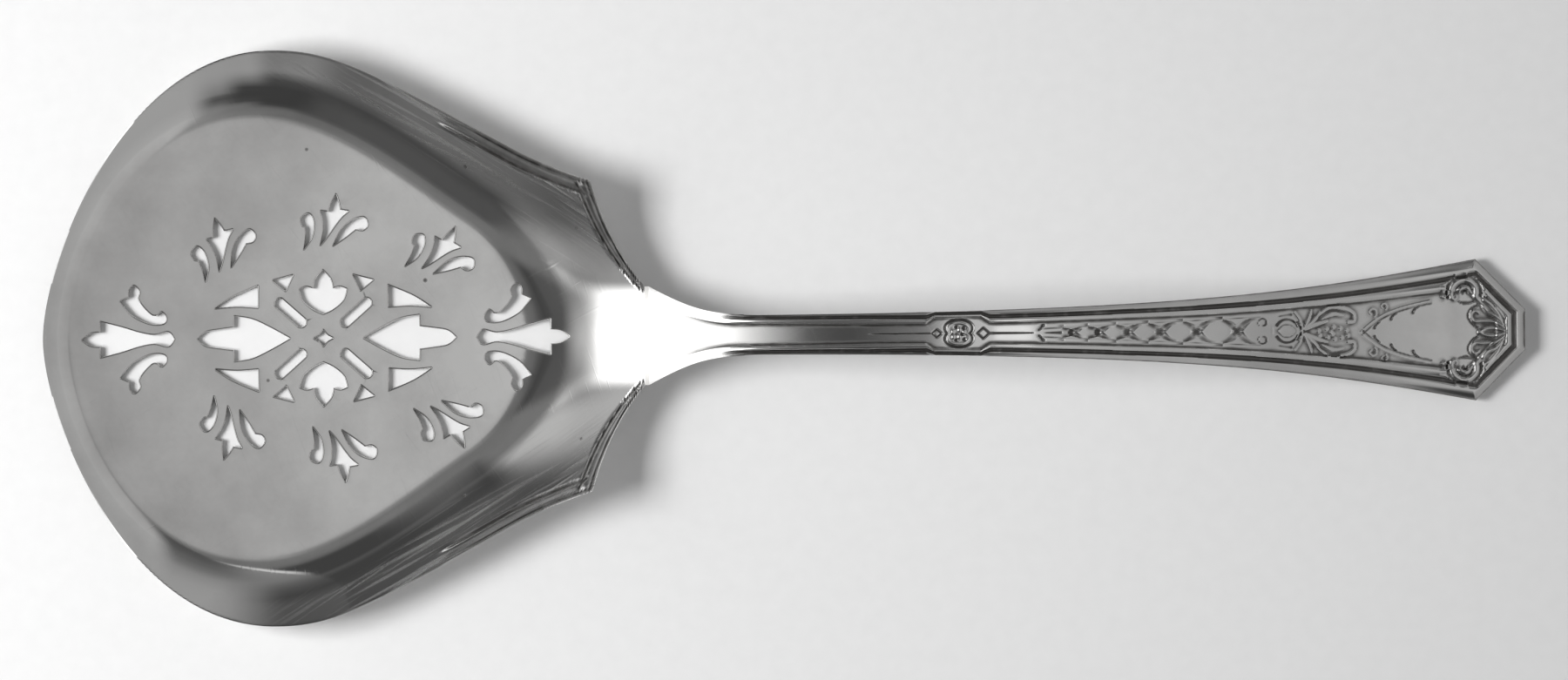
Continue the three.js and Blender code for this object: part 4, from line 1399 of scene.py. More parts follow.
def make_wear_group():
    """Scratches, streaks on the rear walls, brushing near the neck, pits, and a cloudy darkening that grows
    with the distance from a centre.
    """
    tree, source, target = new_tree(
        WEAR_NAME,
        "ShaderNodeTree",
        [
            ("Place", "Vector", None),
            ("Scratches", "Float", 1.0),
            ("Wall streaks", "Float", 0.0),
            ("Pits", "Float", 1.0),
            ("Darkening centre", "Vector", None),
            ("Darkening start", "Float", 0.0),
            ("Darkening spread", "Float", 0.0),
            ("Darkening top", "Float", 4.5 * MM),
        ],
        [("Height", "Float"), ("Dullness", "Float"), ("Darkening", "Float"), ("Stain", "Float")],
    )
    place = source["Place"]
    scratched = 0.0
    for mark in SCRATCHES:
        scratched = calc(tree, "ADD", streak_noise(tree, place, *mark), scratched)
    scratched = calc(tree, "MULTIPLY", scratched, source["Scratches"])

    # The marks on the two walls mirror each other
    x, y, z = add_node(tree, "ShaderNodeSeparateXYZ", {0: place}).outputs
    aside = calc(tree, "ABSOLUTE", y)
    folded = add_node(tree, "ShaderNodeCombineXYZ", {0: x, 1: aside, 2: z}).outputs[0]
    coarse = streak_noise(tree, folded, *COARSE_STREAKS)
    fine = streak_noise(tree, folded, *FINE_STREAKS)
    brushed = streak_noise(tree, folded, *BRUSHING)
    brushed = calc(tree, "MULTIPLY_ADD", brushed, 1 - BRUSHING_LEAST, BRUSHING_LEAST)
    brushed = calc(tree, "MULTIPLY", brushed, ramp(tree, x, *BRUSHING_X))
    streaked = calc(tree, "MAXIMUM", calc(tree, "MAXIMUM", coarse, fine), brushed)
    on_wall = calc(tree, "MULTIPLY", ramp(tree, x, *STREAKS_X), ramp(tree, aside, *STREAKS_Y))
    on_wall = calc(tree, "MULTIPLY", ramp(tree, z, *STREAKS_Z), on_wall)
    on_wall = calc(tree, "MULTIPLY", on_wall, source["Wall streaks"])
    streaked = calc(tree, "MULTIPLY", streaked, on_wall)
    brushed = calc(tree, "MULTIPLY", brushed, on_wall)

    spots = {"Vector": place, "Scale": PIT_CELLS}
    cells = add_node(tree, "ShaderNodeTexVoronoi", spots, feature="F1").outputs
    drawn = add_node(tree, "ShaderNodeSeparateColor", {0: cells["Color"]}).outputs[0]
    pit = calc(
        tree,
        "MULTIPLY",
        ramp(tree, cells["Distance"], PIT_EDGE, PIT_BOTTOM),
        calc(tree, "GREATER_THAN", drawn, PIT_SHARE),
    )
    pit = calc(tree, "MULTIPLY", pit, source["Pits"])

    # A cloudy darkening of the metal colour, which grows with the distance from a centre and towards the
    # table
    cloud = noise(tree, place, CLOUD_SCALE, CLOUD_DETAIL, CLOUD_ROUGHNESS)
    cloud = ramp(tree, cloud, *CLOUD_LEVELS, -CLOUD_SWING, CLOUD_SWING)
    apart = {0: place, 1: source["Darkening centre"]}
    away = add_node(tree, "ShaderNodeVectorMath", apart, operation="DISTANCE").outputs["Value"]
    spread = calc(tree, "MULTIPLY_ADD", away, source["Darkening spread"], source["Darkening start"])
    low_down = ramp(tree, z, source["Darkening top"], FLOOR_TOP)
    film = calc(tree, "MULTIPLY_ADD", spread, low_down, cloud, clamp=True)

    height = calc(tree, "SUBTRACT", calc(tree, "MULTIPLY", scratched, SCRATCH_DEPTH), pit)
    height = calc(tree, "MULTIPLY_ADD", brushed, BRUSHING_DEPTH, height)
    dull = calc(tree, "MULTIPLY", streaked, STREAK_DULLNESS)
    dull = calc(tree, "MULTIPLY_ADD", scratched, SCRATCH_DULLNESS, dull)
    dull = calc(tree, "MULTIPLY_ADD", film, DARKENING_DULLNESS, dull)
    for name, value in (("Height", height), ("Dullness", dull), ("Darkening", film), ("Stain", pit)):
        tree.links.new(value, target[name])
    return tree


def wear_group():
    return bpy.data.node_groups.get(WEAR_NAME) or make_wear_group()


# Fine wear on each piece. The darkening grows with the distance from its centre and towards the table, up to
# its top
BOWL_WEAR = {
    "Scratches": 0.5,
    "Wall streaks": 1.0,
    "Pits": 1.0,
    "Darkening centre": (-26 * MM, 0, 0),
    "Darkening start": -0.06,
    "Darkening spread": 20,
    "Darkening top": 1.1 * MM,
}
HANDLE_WEAR = {"Scratches": 0.8, "Pits": 0.4, "Darkening start": -0.24, "Darkening spread": 12, "Darkening top": 50 * MM}
SOLDER_WEAR = {"Scratches": 0.5, "Pits": 0.3}
TARNISH_CLOUDS, TARNISH_DETAIL, TARNISH_LIFT = 900.0, 3.0, 0.55
PIT_STAIN = 0.7
POLISH = 0.03
BUMP_STRENGTH, BUMP_DISTANCE = 0.3, 0.01 * MM
PAPER_ROUGHNESS, PAPER_GLOSS = 0.9, 0.1
FIBRE_SCALE, FIBRE_DETAIL, FIBRE_TONES = 700.0, 5.0, (0.97, 1.03)


def new_material(name):
    """A material with its tree, its shader's inputs and the place on the piece."""
    material = bpy.data.materials.new(name)
    material.use_nodes = True
    tree = material.node_tree
    place = add_node(tree, "ShaderNodeTexCoord").outputs["Object"]
    return material, tree, tree.nodes["Principled BSDF"].inputs, place


def silver_material(name, look, metal, roughness, wear):
    """Polished silver with fine wear, and with the tarnish colour where the piece's attribute puts it:
    tarnish in the hollows, and on the bowl also painted shade along the rear border.
    """
    material, tree, shader, place = new_material(name)
    shader["Metallic"].default_value = 1.0
    worn = add_node(tree, "ShaderNodeGroup", {"Place": place, **wear}, node_tree=wear_group()).outputs
    # The attribute holds tarnish in the hollows, and on the bowl also the painted shade of the rear border
    film = add_node(tree, "ShaderNodeAttribute", attribute_name="tarnish_and_shade").outputs["Fac"]
    cloud = noise(tree, place, TARNISH_CLOUDS, TARNISH_DETAIL)
    uneven = calc(tree, "MULTIPLY", film, calc(tree, "ADD", cloud, TARNISH_LIFT), clamp=True)
    # Tarnish, pit stains and, on the bowl, the painted shade of the rear border all take the tarnish colour
    stain_and_shade = calc(tree, "MAXIMUM", uneven, calc(tree, "MULTIPLY", worn["Stain"], PIT_STAIN))
    # The metal colour shifts towards the darkening tone by that mask
    darkened = blend(tree, worn["Darkening"], (*metal, 1), (*look.darkening_tone, 1))
    tree.links.new(blend(tree, stain_and_shade, darkened, (*look.tarnish_and_shade, 1)), shader["Base Color"])
    dull = calc(tree, "ADD", worn["Dullness"], roughness - POLISH)
    dulled = {"Factor": stain_and_shade, "A": dull, "B": look.tarnished_roughness}
    tree.links.new(add_node(tree, "ShaderNodeMix", dulled).outputs[0], shader["Roughness"])
    relief = {"Height": worn["Height"], "Strength": BUMP_STRENGTH, "Distance": BUMP_DISTANCE}
    tree.links.new(add_node(tree, "ShaderNodeBump", relief).outputs[0], shader["Normal"])
    return material


def paper_material(look):
    """Plain matt paper with faint fibres."""
    material, tree, shader, place = new_material("paper")
    shader["Roughness"].default_value = PAPER_ROUGHNESS
    shader["Specular IOR Level"].default_value = PAPER_GLOSS
    tone = ramp(tree, noise(tree, place, FIBRE_SCALE, FIBRE_DETAIL), 0.0, 1.0, *FIBRE_TONES)
    tree.links.new(blend(tree, 1.0, (*look.paper, 1), tone, "MULTIPLY"), shader["Base Color"])
    return material


# Pieces

# Point round which the rim is put in order, tarnish in its grooves, and the angles of sharp edges
RIM_MIDDLE = 20 * MM
FULL_TARNISH, MOST_TARNISH = 0.12 * MM, 0.9
BOWL_SHARP, HANDLE_SHARP, SOLDER_SHARP = 50, 60, 50


class SPOON_OT_bowl(bpy.types.Operator):
    """Makes the dished and pierced bowl with its worn edges and the thread on its rear rim"""

    bl_idname = "spoon.bowl"
    bl_label = "Bowl"

    def execute(self, context):
        shape = SpoonShape(context.scene)
        look = context.scene.spoon_silver
        silver = silver_material("polished_bowl", look, look.silver, look.bowl_roughness, BOWL_WEAR)
        loops, rays = pierced_loops(shape), wall_rays(shape)
        bowl = bowl_object(shape, loops, rays)
        border_shade = flatten_border(shape, bowl.data)
        plain = heights(bowl.data).copy()
        thread = rim_thread_strokes(shape)
        add_modifier(bowl, strike_tree(), Strokes=thread, Strength=1.0, Silver=silver)
        struck = heights(bake_modifiers(bowl))
        in_grooves = np.clip((plain - struck) / FULL_TARNISH, 0, MOST_TARNISH)
        # The tarnish colour fills the grooves, and as painted shade it also darkens the border of the rear
        # rim
        set_attribute(bowl.data, "tarnish_and_shade", np.maximum(in_grooves, border_shade))
        start, out, reach, _, at_seam = rays
        rim = (start + out * reach[:, None])[~at_seam]
        order = np.argsort(np.arctan2(rim[:, 1], shape.front + RIM_MIDDLE - rim[:, 0]))
        outlines = outline_object("pierced_outlines", loops)
        rim_line = outline_object("rim_line", [rim[order]], closed=False)
        wear = wear_tree()
        add_modifier(bowl, wear, Outlines=outlines, Radius=shape.bowl.worn_edge, Silver=silver)
        add_modifier(bowl, wear, Outlines=rim_line, Radius=shape.bowl.worn_rim, Silver=silver)
        bake_modifiers(bowl)
        for helper in (thread, outlines, rim_line):
            remove(helper)
        finish_piece(bowl, ["bowl"], BOWL_SHARP)
        return {"FINISHED"}


# Columns across the handle, and where each stretch of rows ends and how close they lie, in millimetres
COLUMNS = 124
ROW_STEPS = [(-2, 0.25), (11.5, 0.25), (18.5, 0.075), (21, 0.12), (41, 0.115), (63.5, 0.088)]

# Rows of the upper face to each row of the lower one, and columns of the lower one
UNDER_ROWS = 4
UNDER_COLUMNS = 12
FIELD_EDGE_OUT, FIELD_EDGE_IN = 0.05 * MM, 0.15 * MM
EDGE_POWER = 4


def handle_rows(shape):
    """Stations along the handle, with one on the corner of the tip."""
    rows, start = [], shape.seam / MM
    corner = shape.corner / MM
    for end, spacing in ROW_STEPS:
        count = max(1, round((end - start) / spacing))
        rows.append(np.linspace(start, end, count, endpoint=False))
        start = end
    rows = np.append(np.concatenate(rows), shape.tip / MM)
    rows[np.argmin(np.abs(rows - corner))] = corner
    spare = (len(rows) - 1) % UNDER_ROWS
    return np.delete(rows, np.arange(2, 2 + spare)) * MM


def edge_distance(shape, x, y):
    """Distance in from the nearest stretch of the handle's edge."""
    handle = shape.handle
    slope = np.gradient(shape.edge_half_width(x[:, 0]), x[:, 0])[:, None]
    long_edge = (shape.edge_half_width(x) - np.abs(y)) / np.hypot(1, slope)
    run, fall = handle.chamfer, handle.corner_half_width - handle.tip_half_width
    chamfer = (shape.tip - x) * fall + (handle.tip_half_width - np.abs(y)) * run
    chamfer = chamfer / math.hypot(run, fall)
    return np.minimum(np.minimum(long_edge, chamfer), shape.tip - x)


def handle_top(shape, x, y):
    """Upper face before it is struck: rounded edges round a sunk field."""
    handle = shape.handle
    start = shape.seam + handle.thread_start
    struck = smooth(x, start, start + handle.thread_fade)
    inset = edge_distance(shape, x, y)
    widening = smooth(x, shape.stem, shape.corner)
    bevel = handle.stem_bevel + (handle.tip_bevel - handle.stem_bevel) * widening
    drop = struck * handle.bevel_slope * np.clip(bevel - inset, 0, None) ** 2 / (2 * bevel)
    field = border_inset(x / MM, INNER_GROOVE) * MM
    sunk = handle.field_depth * smooth(inset, field - FIELD_EDGE_OUT, field + FIELD_EDGE_IN)
    sunk = sunk * smooth(x, shape.seam, shape.stem)
    room = handle.relief_room * smooth(x, shape.stem, shape.stem + handle.relief_fade)
    return shape.fan_height(x, y) - drop - sunk - room


def grid_faces(index):
    """Quads over a grid of vertex numbers, row by row."""
    corners = (index[:-1, :-1], index[1:, :-1], index[1:, 1:], index[:-1, 1:])
    return np.stack(corners, 2).reshape(-1, 4).tolist()


def handle_object(shape):
    """The bar before it is struck: a fine upper face, a coarser lower one, and the edge between them."""
    handle = shape.handle
    rows = handle_rows(shape)
    x, part = np.meshgrid(rows, np.linspace(-1, 1, COLUMNS + 1), indexing="ij")
    y = part * shape.half_width(x)
    top = handle_top(shape, x, y)
    under_x, under_part = np.meshgrid(
        rows[::UNDER_ROWS], np.linspace(-1, 1, UNDER_COLUMNS + 1), indexing="ij"
    )
    under_y = under_part * shape.half_width(under_x)
    thinning = smooth(under_x, shape.stem, shape.rest)
    full = handle.stem_thickness + (handle.tip_thickness - handle.stem_thickness) * thinning
    thickness = full + (handle.edge_thickness - full) * np.abs(under_part) ** EDGE_POWER
    bottom = np.maximum(shape.fan_under(under_x, under_y, thickness), 0)
    vertices = [np.stack(face, 2).reshape(-1, 3) for face in ((x, y, top), (under_x, under_y, bottom))]

    above = np.arange(x.size).reshape(x.shape)
    below = x.size + np.arange(under_x.size).reshape(under_x.shape)
    faces = grid_faces(above)
    faces += [face[:1] + face[:0:-1] for face in grid_faces(below)]
    for side in (0, -1):
        for row in range(len(below) - 1):
            strip = above[row * UNDER_ROWS : (row + 1) * UNDER_ROWS + 1, side]
            faces.append((below[row + 1, side], below[row, side], *strip))
    span = COLUMNS // UNDER_COLUMNS
    marks = [column * span for column in range(UNDER_COLUMNS)] + [COLUMNS]
    for end in (0, -1):
        for column in range(UNDER_COLUMNS):
            strip = above[end, marks[column] : marks[column + 1] + 1]
            faces.append((below[end, column + 1], below[end, column], *strip))
    piece = new_object("handle_silver", np.vstack(vertices), faces)
    turn_outwards(piece.data)
    set_attribute(piece.data, "face_up", np.concatenate([np.ones(x.size), -np.ones(under_x.size)]))
    return piece, x, y


# Reach of the mean, most columns in it, and the depth at which a hollow is fully tarnished
HOLLOW_REACH = 0.32 * MM
MOST_COLUMNS = 20
LEAST_SPACING = 0.001 * MM
FULL_HOLLOW = 0.05 * MM


def hollows(relief, x, y):
    """How far each point lies below the mean of its surroundings, and nought where it stands above."""
    blurred = relief.copy()
    for row in range(len(relief)):
        spacing = max(abs(y[row, 1] - y[row, 0]), LEAST_SPACING)
        half = max(1, min(MOST_COLUMNS, round(HOLLOW_REACH / spacing)))
        padded = np.pad(relief[row], half, mode="edge")
        sums = np.cumsum(np.insert(padded, 0, 0))
        blurred[row] = (sums[2 * half + 1 :] - sums[: -2 * half - 1]) / (2 * half + 1)
    smoothed = blurred.copy()
    for row in range(len(relief)):
        near = np.abs(x[:, 0] - x[row, 0]) <= HOLLOW_REACH
        smoothed[row] = blurred[near].mean(0)
    return np.clip(smoothed - relief, 0, None)


def tongue_half_width(shape, x):
    """Half width of the tongue, which ends in an oval."""
    joint = shape.joint
    out = np.clip((shape.seam - x) / joint.tongue, 0, 1)
    wide = shape.handle.neck_half_width - joint.tongue_inset
    return joint.tongue_tip + (wide - joint.tongue_tip) * np.sqrt(1 - out**2)


def lap_rows(shape, reach, count=10):
    """Stations along the lap, closer together towards its round end."""
    return shape.seam - reach * np.cos(np.arange(count) / count * math.pi / 2)


def lap_patch(rows, half_width, top, bottom, columns=12):
    """Vertices and faces of a closed slab over rows along x and columns across."""
    x, part = np.meshgrid(rows, np.linspace(-1, 1, columns + 1), indexing="ij")
    y = part * half_width(x)
    vertices = np.vstack(
        [np.stack([x, y, top(x, y)], 2).reshape(-1, 3), np.stack([x, y, bottom(x, y)], 2).reshape(-1, 3)]
    )
    wide, count = columns + 1, x.size
    faces = []
    for row in range(len(rows) - 1):
        for column in range(columns):
            a, b = row * wide + column, (row + 1) * wide + column
            faces.append((a, b, b + 1, a + 1))
            faces.append((count + a, count + a + 1, count + b + 1, count + b))
    border = [i * wide for i in range(len(rows))]
    border += [(len(rows) - 1) * wide + i for i in range(1, wide)]
    border += [i * wide + columns for i in range(len(rows) - 2, -1, -1)]
    border += list(range(columns - 1, 0, -1))
    for i, a in enumerate(border):
        b = border[(i + 1) % len(border)]
        faces.append((a, a + count, b + count, b))
    return vertices, faces


def solder_top(shape, x, y):
    return shape.fan_under(x, y, shape.bowl.sheet) - shape.joint.clearance


def tongue_top(shape, x, y):
    return solder_top(shape, x, y) - shape.joint.film - shape.joint.clearance


def tongue_bottom(shape, x, y):
    joint = shape.joint
    out = smooth(shape.seam - x, 0, joint.tongue)
    across = y / tongue_half_width(shape, x)
    root = tongue_top(shape, x, y) - shape.fan_under(x, y, shape.handle.stem_thickness)
    middle = root + (joint.tongue_thin - root) * out
    return tongue_top(shape, x, y) - (middle + (joint.tongue_thin - middle) * across**EDGE_POWER)


class SPOON_OT_handle(bpy.types.Operator):
    """Makes the handle with its struck border and ornament, and the tongue under the heel"""

    bl_idname = "spoon.handle"
    bl_label = "Handle"

    def execute(self, context):
        shape = SpoonShape(context.scene)
        look = context.scene.spoon_silver
        silver = silver_material("struck_handle", look, look.silver, look.handle_roughness, HANDLE_WEAR)
        handle, x, y = handle_object(shape)
        strokes = handle_strokes(shape, silver)
        add_modifier(handle, strike_tree(), Strokes=strokes, Strength=1.0, Silver=silver)
        struck = heights(bake_modifiers(handle))
        remove(strokes)
        relief = struck[: x.size].reshape(x.shape) - shape.fan_height(x, y)
        film = np.zeros(len(struck))
        film[: x.size] = np.clip(hollows(relief, x, y) / FULL_HOLLOW, 0, 1).ravel()
        set_attribute(handle.data, "tarnish_and_shade", film)
        joint = shape.joint
        rows = np.append(lap_rows(shape, joint.tongue), [shape.seam, shape.seam + joint.tongue_root])
        tongue_mesh = lap_patch(
            rows,
            lambda x: tongue_half_width(shape, x),
            lambda x, y: tongue_top(shape, x, y),
            lambda x, y: tongue_bottom(shape, x, y),
        )
        tongue = new_object("tongue", *tongue_mesh)
        turn_outwards(tongue.data)
        tongue.data.materials.append(silver)
        union = handle.modifiers.new("Tongue", "BOOLEAN")
        union.operation = "UNION"
        union.object = tongue
        union.solver = "MANIFOLD"
        bake_modifiers(handle)
        remove(tongue)
        finish_piece(handle, ["handle"], HANDLE_SHARP)
        return {"FINISHED"}


LINE_ROWS, LINE_COLUMNS = 5, 48


class SPOON_OT_solder(bpy.types.Operator):
    """Makes the solder in the lap and the line across the neck"""

    bl_idname = "spoon.solder"
    bl_label = "Solder"

    def execute(self, context):
        shape = SpoonShape(context.scene)
        joint, look = shape.joint, context.scene.spoon_silver
        silver = silver_material("dull_solder", look, look.solder, look.solder_roughness, SOLDER_WEAR)
        rows = np.append(lap_rows(shape, joint.tongue - joint.film_inset), shape.seam - joint.clearance)
        film = lap_patch(
            rows,
            lambda x: tongue_half_width(shape, x) - joint.film_inset,
            lambda x, y: solder_top(shape, x, y),
            lambda x, y: solder_top(shape, x, y) - joint.film,
        )
        neck = shape.handle.neck_half_width
        line = lap_patch(
            np.linspace(shape.bowl_end, shape.seam, LINE_ROWS),
            lambda x: np.full_like(x, neck),
            shape.fan_height,
            lambda x, y: shape.fan_under(x, y, shape.bowl.sheet),
            LINE_COLUMNS,
        )
        first = len(film[0])
        vertices = np.vstack([film[0], line[0]])
        faces = film[1] + [tuple(first + i for i in face) for face in line[1]]
        solder = new_object("solder_line", vertices, faces)
        turn_outwards(solder.data)
        solder.data.materials.append(silver)
        finish_piece(solder, ["solder_seam"], SOLDER_SHARP)
        return {"FINISHED"}


PAPER_HALF, PAPER_TOP = 1.5, -0.02 * MM
CLIP_START = 0.01


class SPOON_OT_stage(bpy.types.Operator):
    """Lays the paper and sets the camera and the light"""

    bl_idname = "spoon.stage"
    bl_label = "Stage"

    def execute(self, context):
        scene, stage = context.scene, context.scene.spoon_stage
        scene.view_settings.view_transform = "Standard"
        corners = ((-1, -1), (1, -1), (1, 1), (-1, 1))
        sheet = [(x * PAPER_HALF, y * PAPER_HALF, PAPER_TOP) for x, y in corners]
        paper = new_object("paper", sheet, [(0, 1, 2, 3)])
        paper.data.materials.append(paper_material(stage))
        camera = bpy.data.cameras.new("camera")
        camera.sensor_fit = "HORIZONTAL"
        camera.angle = 2 * math.atan(stage.frame_width / 2 / stage.camera_distance)
        camera.clip_start = CLIP_START
        eye = bpy.data.objects.new("camera", camera)
        eye.location = (0, stage.frame_rise, stage.camera_distance)
        eye.rotation_euler = (0, 0, -stage.roll)
        scene.collection.objects.link(eye)
        scene.camera = eye
        make_world(scene)
        make_lamps(scene)
        return {"FINISHED"}


# Light that the room shows at each angle from straight above, in degrees
ROOM_RIGHT = [(0, 0.53), (12, 0.54), (22, 0.49), (35, 0.41), (60, 0.37), (90, 0.38)]
ROOM_FAR_RIGHT = [
    (0, 0.53), (6, 0.5), (9, 0.34), (12, 0.16), (15, 0.1), (24, 0.11), (36, 0.13), (48, 0.18), (60, 0.27),
    (75, 0.33), (90, 0.36),
]
ROOM_FAR = [
    (0, 0.53), (6, 0.49), (8, 0.38), (10.5, 0.22), (14, 0.24), (30, 0.26), (45, 0.22), (55, 0.19),
    (64, 0.13), (72, 0.09), (81, 0.06), (85, 0.08), (87, 0.1), (88.5, 0.16), (90, 0.25),
]
ROOM_CORNER = [
    (0, 0.53), (6, 0.49), (8, 0.36), (11, 0.23), (20, 0.19), (25, 0.14), (29, 0.075), (33, 0.055),
    (60, 0.055), (65, 0.09), (72, 0.055), (81, 0.055), (85, 0.06), (87.5, 0.075), (90, 0.15),
]
ROOM_NEAR_RIGHT = [
    (0, 0.53), (6, 0.5), (8, 0.43), (12, 0.32), (24, 0.25), (36, 0.2), (45, 0.12), (52, 0.085),
    (58, 0.11), (63, 0.2), (75, 0.27), (84, 0.34), (90, 0.38),
]
ROOM_NEAR_EDGE = [
    (0, 0.53), (6, 0.5), (8, 0.42), (12, 0.29), (20, 0.22), (30, 0.18), (36, 0.13), (41, 0.065),
    (55, 0.05), (69, 0.055), (74, 0.12), (80, 0.22), (85, 0.34), (90, 0.38),
]
ROOM_NEAR = [
    (0, 0.53), (6, 0.5), (8, 0.4), (12, 0.25), (24, 0.18), (29, 0.12), (34, 0.06), (40, 0.05),
    (70, 0.05), (80, 0.07), (84, 0.14), (87, 0.3), (90, 0.33),
]
ROOM_NEAR_LEFT = [
    (0, 0.53), (6, 0.49), (8, 0.33), (12, 0.21), (24, 0.17), (29, 0.11), (36, 0.085), (60, 0.085),
    (66, 0.08), (78, 0.065), (84, 0.11), (90, 0.17),
]
ROOM_SHOULDER = [(0, 0.53), (5, 0.5), (8, 0.26), (12, 0.19), (50, 0.18), (62, 0.21), (72, 0.27), (90, 0.22)]
ROOM_FAR_SHOULDER = [
    (0, 0.53), (5, 0.5), (8, 0.26), (12, 0.19), (50, 0.19), (57, 0.27), (63, 0.38), (72, 0.38), (80, 0.26),
    (90, 0.2),
]
ROOM_LEFT = [
    (0, 0.53), (4, 0.52), (6.2, 0.46), (8, 0.2), (10, 0.16), (14, 0.14), (18, 0.09), (22, 0.062), (26, 0.07),
    (29, 0.09), (45, 0.1), (60, 0.15), (90, 0.2),
]
WINDOW = [(40, 0.0), (41, 0.06), (42.5, 0.24), (44, 0.7), (45.5, 1.1), (58, 1.1), (66, 0.2), (90, 0.0)]
WINDOW_FRAME = [(31, 0.0), (33, 0.08), (35, 0.2), (37, 0.31), (39.5, 0.43), (58, 0.45), (66, 0.1), (90, 0.1)]

# Where each part of the room takes over from the one before, in degrees round from the right
FAR_SIDE = [
    (0, 1, ROOM_RIGHT), (57, 67, ROOM_FAR_RIGHT), (79, 104, ROOM_FAR), (125, 136, ROOM_FAR_SHOULDER),
    (151, 158, ROOM_LEFT),
]
NEAR_SIDE = [
    (0, 1, ROOM_RIGHT), (71, 82, ROOM_NEAR_RIGHT), (82, 91, ROOM_NEAR_EDGE), (92, 101, ROOM_NEAR),
    (108, 118, ROOM_NEAR_LEFT), (134, 145, ROOM_SHOULDER), (151, 158, ROOM_LEFT),
]
CORNER_END = (125, 136)
SIDES_MEET = 0.05

# The straight edge across the far side: its turn and place, and the thin light gap along it
GAP_TURN = 0.514
GAP_PLACE = 0.166
GAP_LEVEL = 0.5
EDGE_BLUR = 0.03
GAP_WIDTH = (0.035, 0.012)
GAP_TOP, GAP_FOOT = (16, 22), (62, 35)

# How fast the near edges of the window and its frame curve away, and where both fade, in degrees
WINDOW_CURVE = 0.0122
FRAME_CURVE = 0.022
WINDOW_FADE, WINDOW_END = (33, 26), (52, 40)
WINDOW_REST = 0.1
LEAST = 0.001
LOW_DOWN = 0.01


def level_ramp(tree, factor, stops):
    """Level of light at each angle. The places come first, because the ramp sorts its stops by them."""
    made = add_node(tree, "ShaderNodeValToRGB", {"Fac": factor})
    elements = made.color_ramp.elements
    while len(elements) < len(stops):
        elements.new(1)
    for element, (degrees, _) in zip(elements, stops):
        element.position = degrees / 90
    for element, (_, level) in zip(elements, stops):
        element.color = (level, level, level, 1)
    return made.outputs["Color"]


def step(tree, value, span, full):
    """A soft step between two angles in degrees, where the value is a share of the full angle."""
    low, high = span
    return ramp(tree, value, low / full, high / full, kind="SMOOTHSTEP")


def room_side(tree, from_top, around, parts):
    """One side of the room, from the right to the left."""
    shown = level_ramp(tree, from_top, parts[0][2])
    for start, end, stops in parts[1:]:
        part = step(tree, around, (start, end), 180)
        shown = blend(tree, part, shown, level_ramp(tree, from_top, stops))
    return shown


def make_world(scene):
    """A room with light and dark sides and a window on the left, as polished silver shows it."""
    world = bpy.data.worlds.new("room")
    scene.world = world
    world.use_nodes = True
    tree = world.node_tree
    aim = add_node(tree, "ShaderNodeTexCoord").outputs["Generated"]
    x, y, z = add_node(tree, "ShaderNodeSeparateXYZ", {0: aim}).outputs
    from_top = calc(tree, "DIVIDE", calc(tree, "ARCCOSINE", z), math.pi / 2, clamp=True)
    flat = calc(tree, "SQRT", calc(tree, "SUBTRACT", 1.0, calc(tree, "MULTIPLY", z, z)))
    flat = calc(tree, "MAXIMUM", flat, LEAST)
    around = calc(tree, "DIVIDE", calc(tree, "ARCCOSINE", calc(tree, "DIVIDE", x, flat)), math.pi)

    # A straight edge across the far side, dark behind it and with a thin light gap along it
    up = calc(tree, "MAXIMUM", z, LOW_DOWN)
    edge = calc(tree, "DIVIDE", calc(tree, "MULTIPLY_ADD", y, GAP_TURN, x), up)
    far = room_side(tree, from_top, around, FAR_SIDE)
    corner = blend(tree, step(tree, around, CORNER_END, 180), level_ramp(tree, from_top, ROOM_CORNER), far)
    far = blend(tree, step(tree, edge, (GAP_PLACE - EDGE_BLUR, GAP_PLACE + EDGE_BLUR), 1), corner, far)
    gap = step(tree, calc(tree, "ABSOLUTE", calc(tree, "SUBTRACT", edge, GAP_PLACE)), GAP_WIDTH, 1)
    for span in (GAP_TOP, GAP_FOOT):
        gap = calc(tree, "MULTIPLY", gap, step(tree, from_top, span, 90))
    far = blend(tree, 1.0, far, calc(tree, "MULTIPLY", gap, GAP_LEVEL), "ADD")
    near = room_side(tree, from_top, around, NEAR_SIDE)
    sides = blend(tree, step(tree, calc(tree, "DIVIDE", y, flat), (-SIDES_MEET, SIDES_MEET), 1), near, far)

    # The window's near edge curves away to both sides, where it fades
    aside = calc(tree, "SUBTRACT", 1.0, around)
    squared = calc(tree, "MULTIPLY", aside, aside)
    panes = []
    for curve, stops in ((WINDOW_CURVE, WINDOW), (FRAME_CURVE, WINDOW_FRAME)):
        curved = calc(tree, "MULTIPLY", squared, curve * 180**2 / 90)
        panes.append(level_ramp(tree, calc(tree, "SUBTRACT", from_top, curved), stops))
    window = blend(tree, 1.0, *panes, "ADD")
    fading = calc(tree, "MULTIPLY_ADD", step(tree, aside, WINDOW_FADE, 180), 1 - WINDOW_REST, WINDOW_REST)
    fading = calc(tree, "MULTIPLY", fading, step(tree, aside, WINDOW_END, 180))
    window = blend(tree, 1.0, window, fading, "MULTIPLY")
    tree.links.new(blend(tree, 1.0, sides, window, "ADD"), tree.nodes["Background"].inputs["Color"])


# Aim and turn from straight above of the softbox, its distance, size and power, and the card over the stem
SOFTBOX_AIM, SOFTBOX_TURN = Vector((-10 * MM, 0, 5 * MM)), math.radians(40)
SOFTBOX_REACH, SOFTBOX_SIZE, SOFTBOX_WATTS = 0.32, (0.122, 0.114), 0.82
CARD_PLACE, CARD_AIM = (0.027, 0, 0.055), (0.027, 0.0001, 0)
CARD_SIZE, CARD_WATTS = (0.012, 0.03), 0.0004


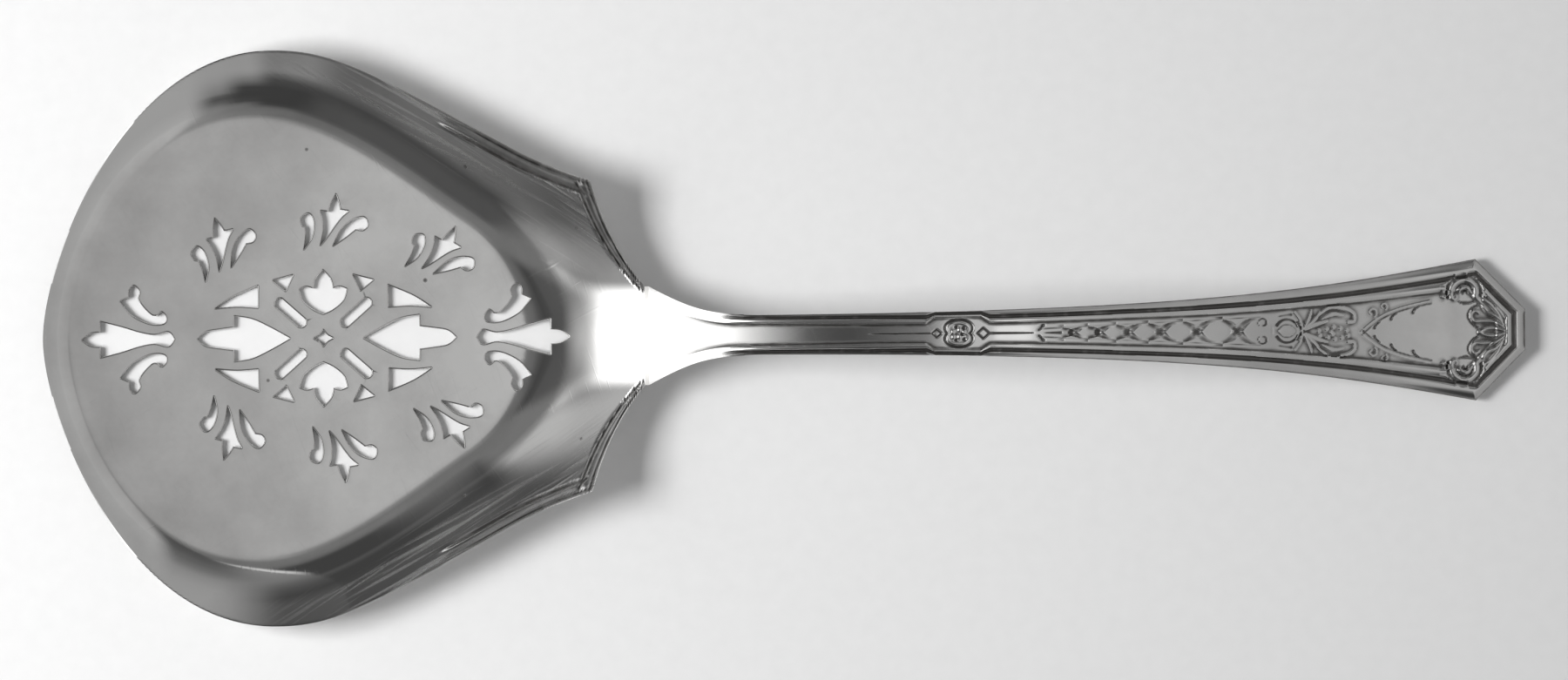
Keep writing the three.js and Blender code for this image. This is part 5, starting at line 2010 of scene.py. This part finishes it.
def add_softbox(scene, name, place, aim, size, watts):
    data = bpy.data.lights.new(name, "AREA")
    data.shape = "RECTANGLE"
    data.size, data.size_y = size
    data.energy = watts
    lamp = bpy.data.objects.new(name, data)
    lamp.location = place
    lamp.rotation_euler = (Vector(aim) - Vector(place)).to_track_quat("-Z", "Y").to_euler()
    lamp.visible_camera = False
    scene.collection.objects.link(lamp)
    return lamp


def make_lamps(scene):
    """A softbox on the left, which the metal sees as the room's window, and a small white card."""
    away = Vector((-math.sin(SOFTBOX_TURN), 0, math.cos(SOFTBOX_TURN))) * SOFTBOX_REACH
    softbox = add_softbox(scene, "softbox", SOFTBOX_AIM + away, SOFTBOX_AIM, SOFTBOX_SIZE, SOFTBOX_WATTS)
    softbox.visible_glossy = False
    add_softbox(scene, "card", CARD_PLACE, CARD_AIM, CARD_SIZE, CARD_WATTS)


class SPOON_PT_panel(bpy.types.Panel):
    """Sizes, finishes and the makers of the pieces"""

    bl_idname = "SPOON_PT_panel"
    bl_label = "Bonbon spoon"
    bl_space_type = "VIEW_3D"
    bl_region_type = "UI"
    bl_category = "Spoon"

    def draw(self, context):
        layout = self.layout
        for operator in OPERATORS:
            layout.operator(operator.bl_idname)
        for name in GROUPS:
            box = layout.box()
            group = getattr(context.scene, name)
            box.label(text=group.__doc__)
            for key in group.__annotations__:
                box.prop(group, key)


GROUPS = {
    "spoon_bowl": BowlSizes,
    "spoon_handle": HandleSizes,
    "spoon_joint": JointSizes,
    "spoon_silver": SilverLook,
    "spoon_stage": StageLook,
}
OPERATORS = (SPOON_OT_stage, SPOON_OT_bowl, SPOON_OT_handle, SPOON_OT_solder)
CLASSES = (*GROUPS.values(), *OPERATORS, SPOON_PT_panel)


def register():
    for cls in CLASSES:
        bpy.utils.register_class(cls)
    for name, group in GROUPS.items():
        setattr(bpy.types.Scene, name, PointerProperty(type=group))


def unregister():
    for name in GROUPS:
        delattr(bpy.types.Scene, name)
    for cls in reversed(CLASSES):
        bpy.utils.unregister_class(cls)


def main():
    register()
    bpy.ops.spoon.stage()
    bpy.ops.spoon.bowl()
    bpy.ops.spoon.handle()
    bpy.ops.spoon.solder()


if __name__ == "__main__":
    main()
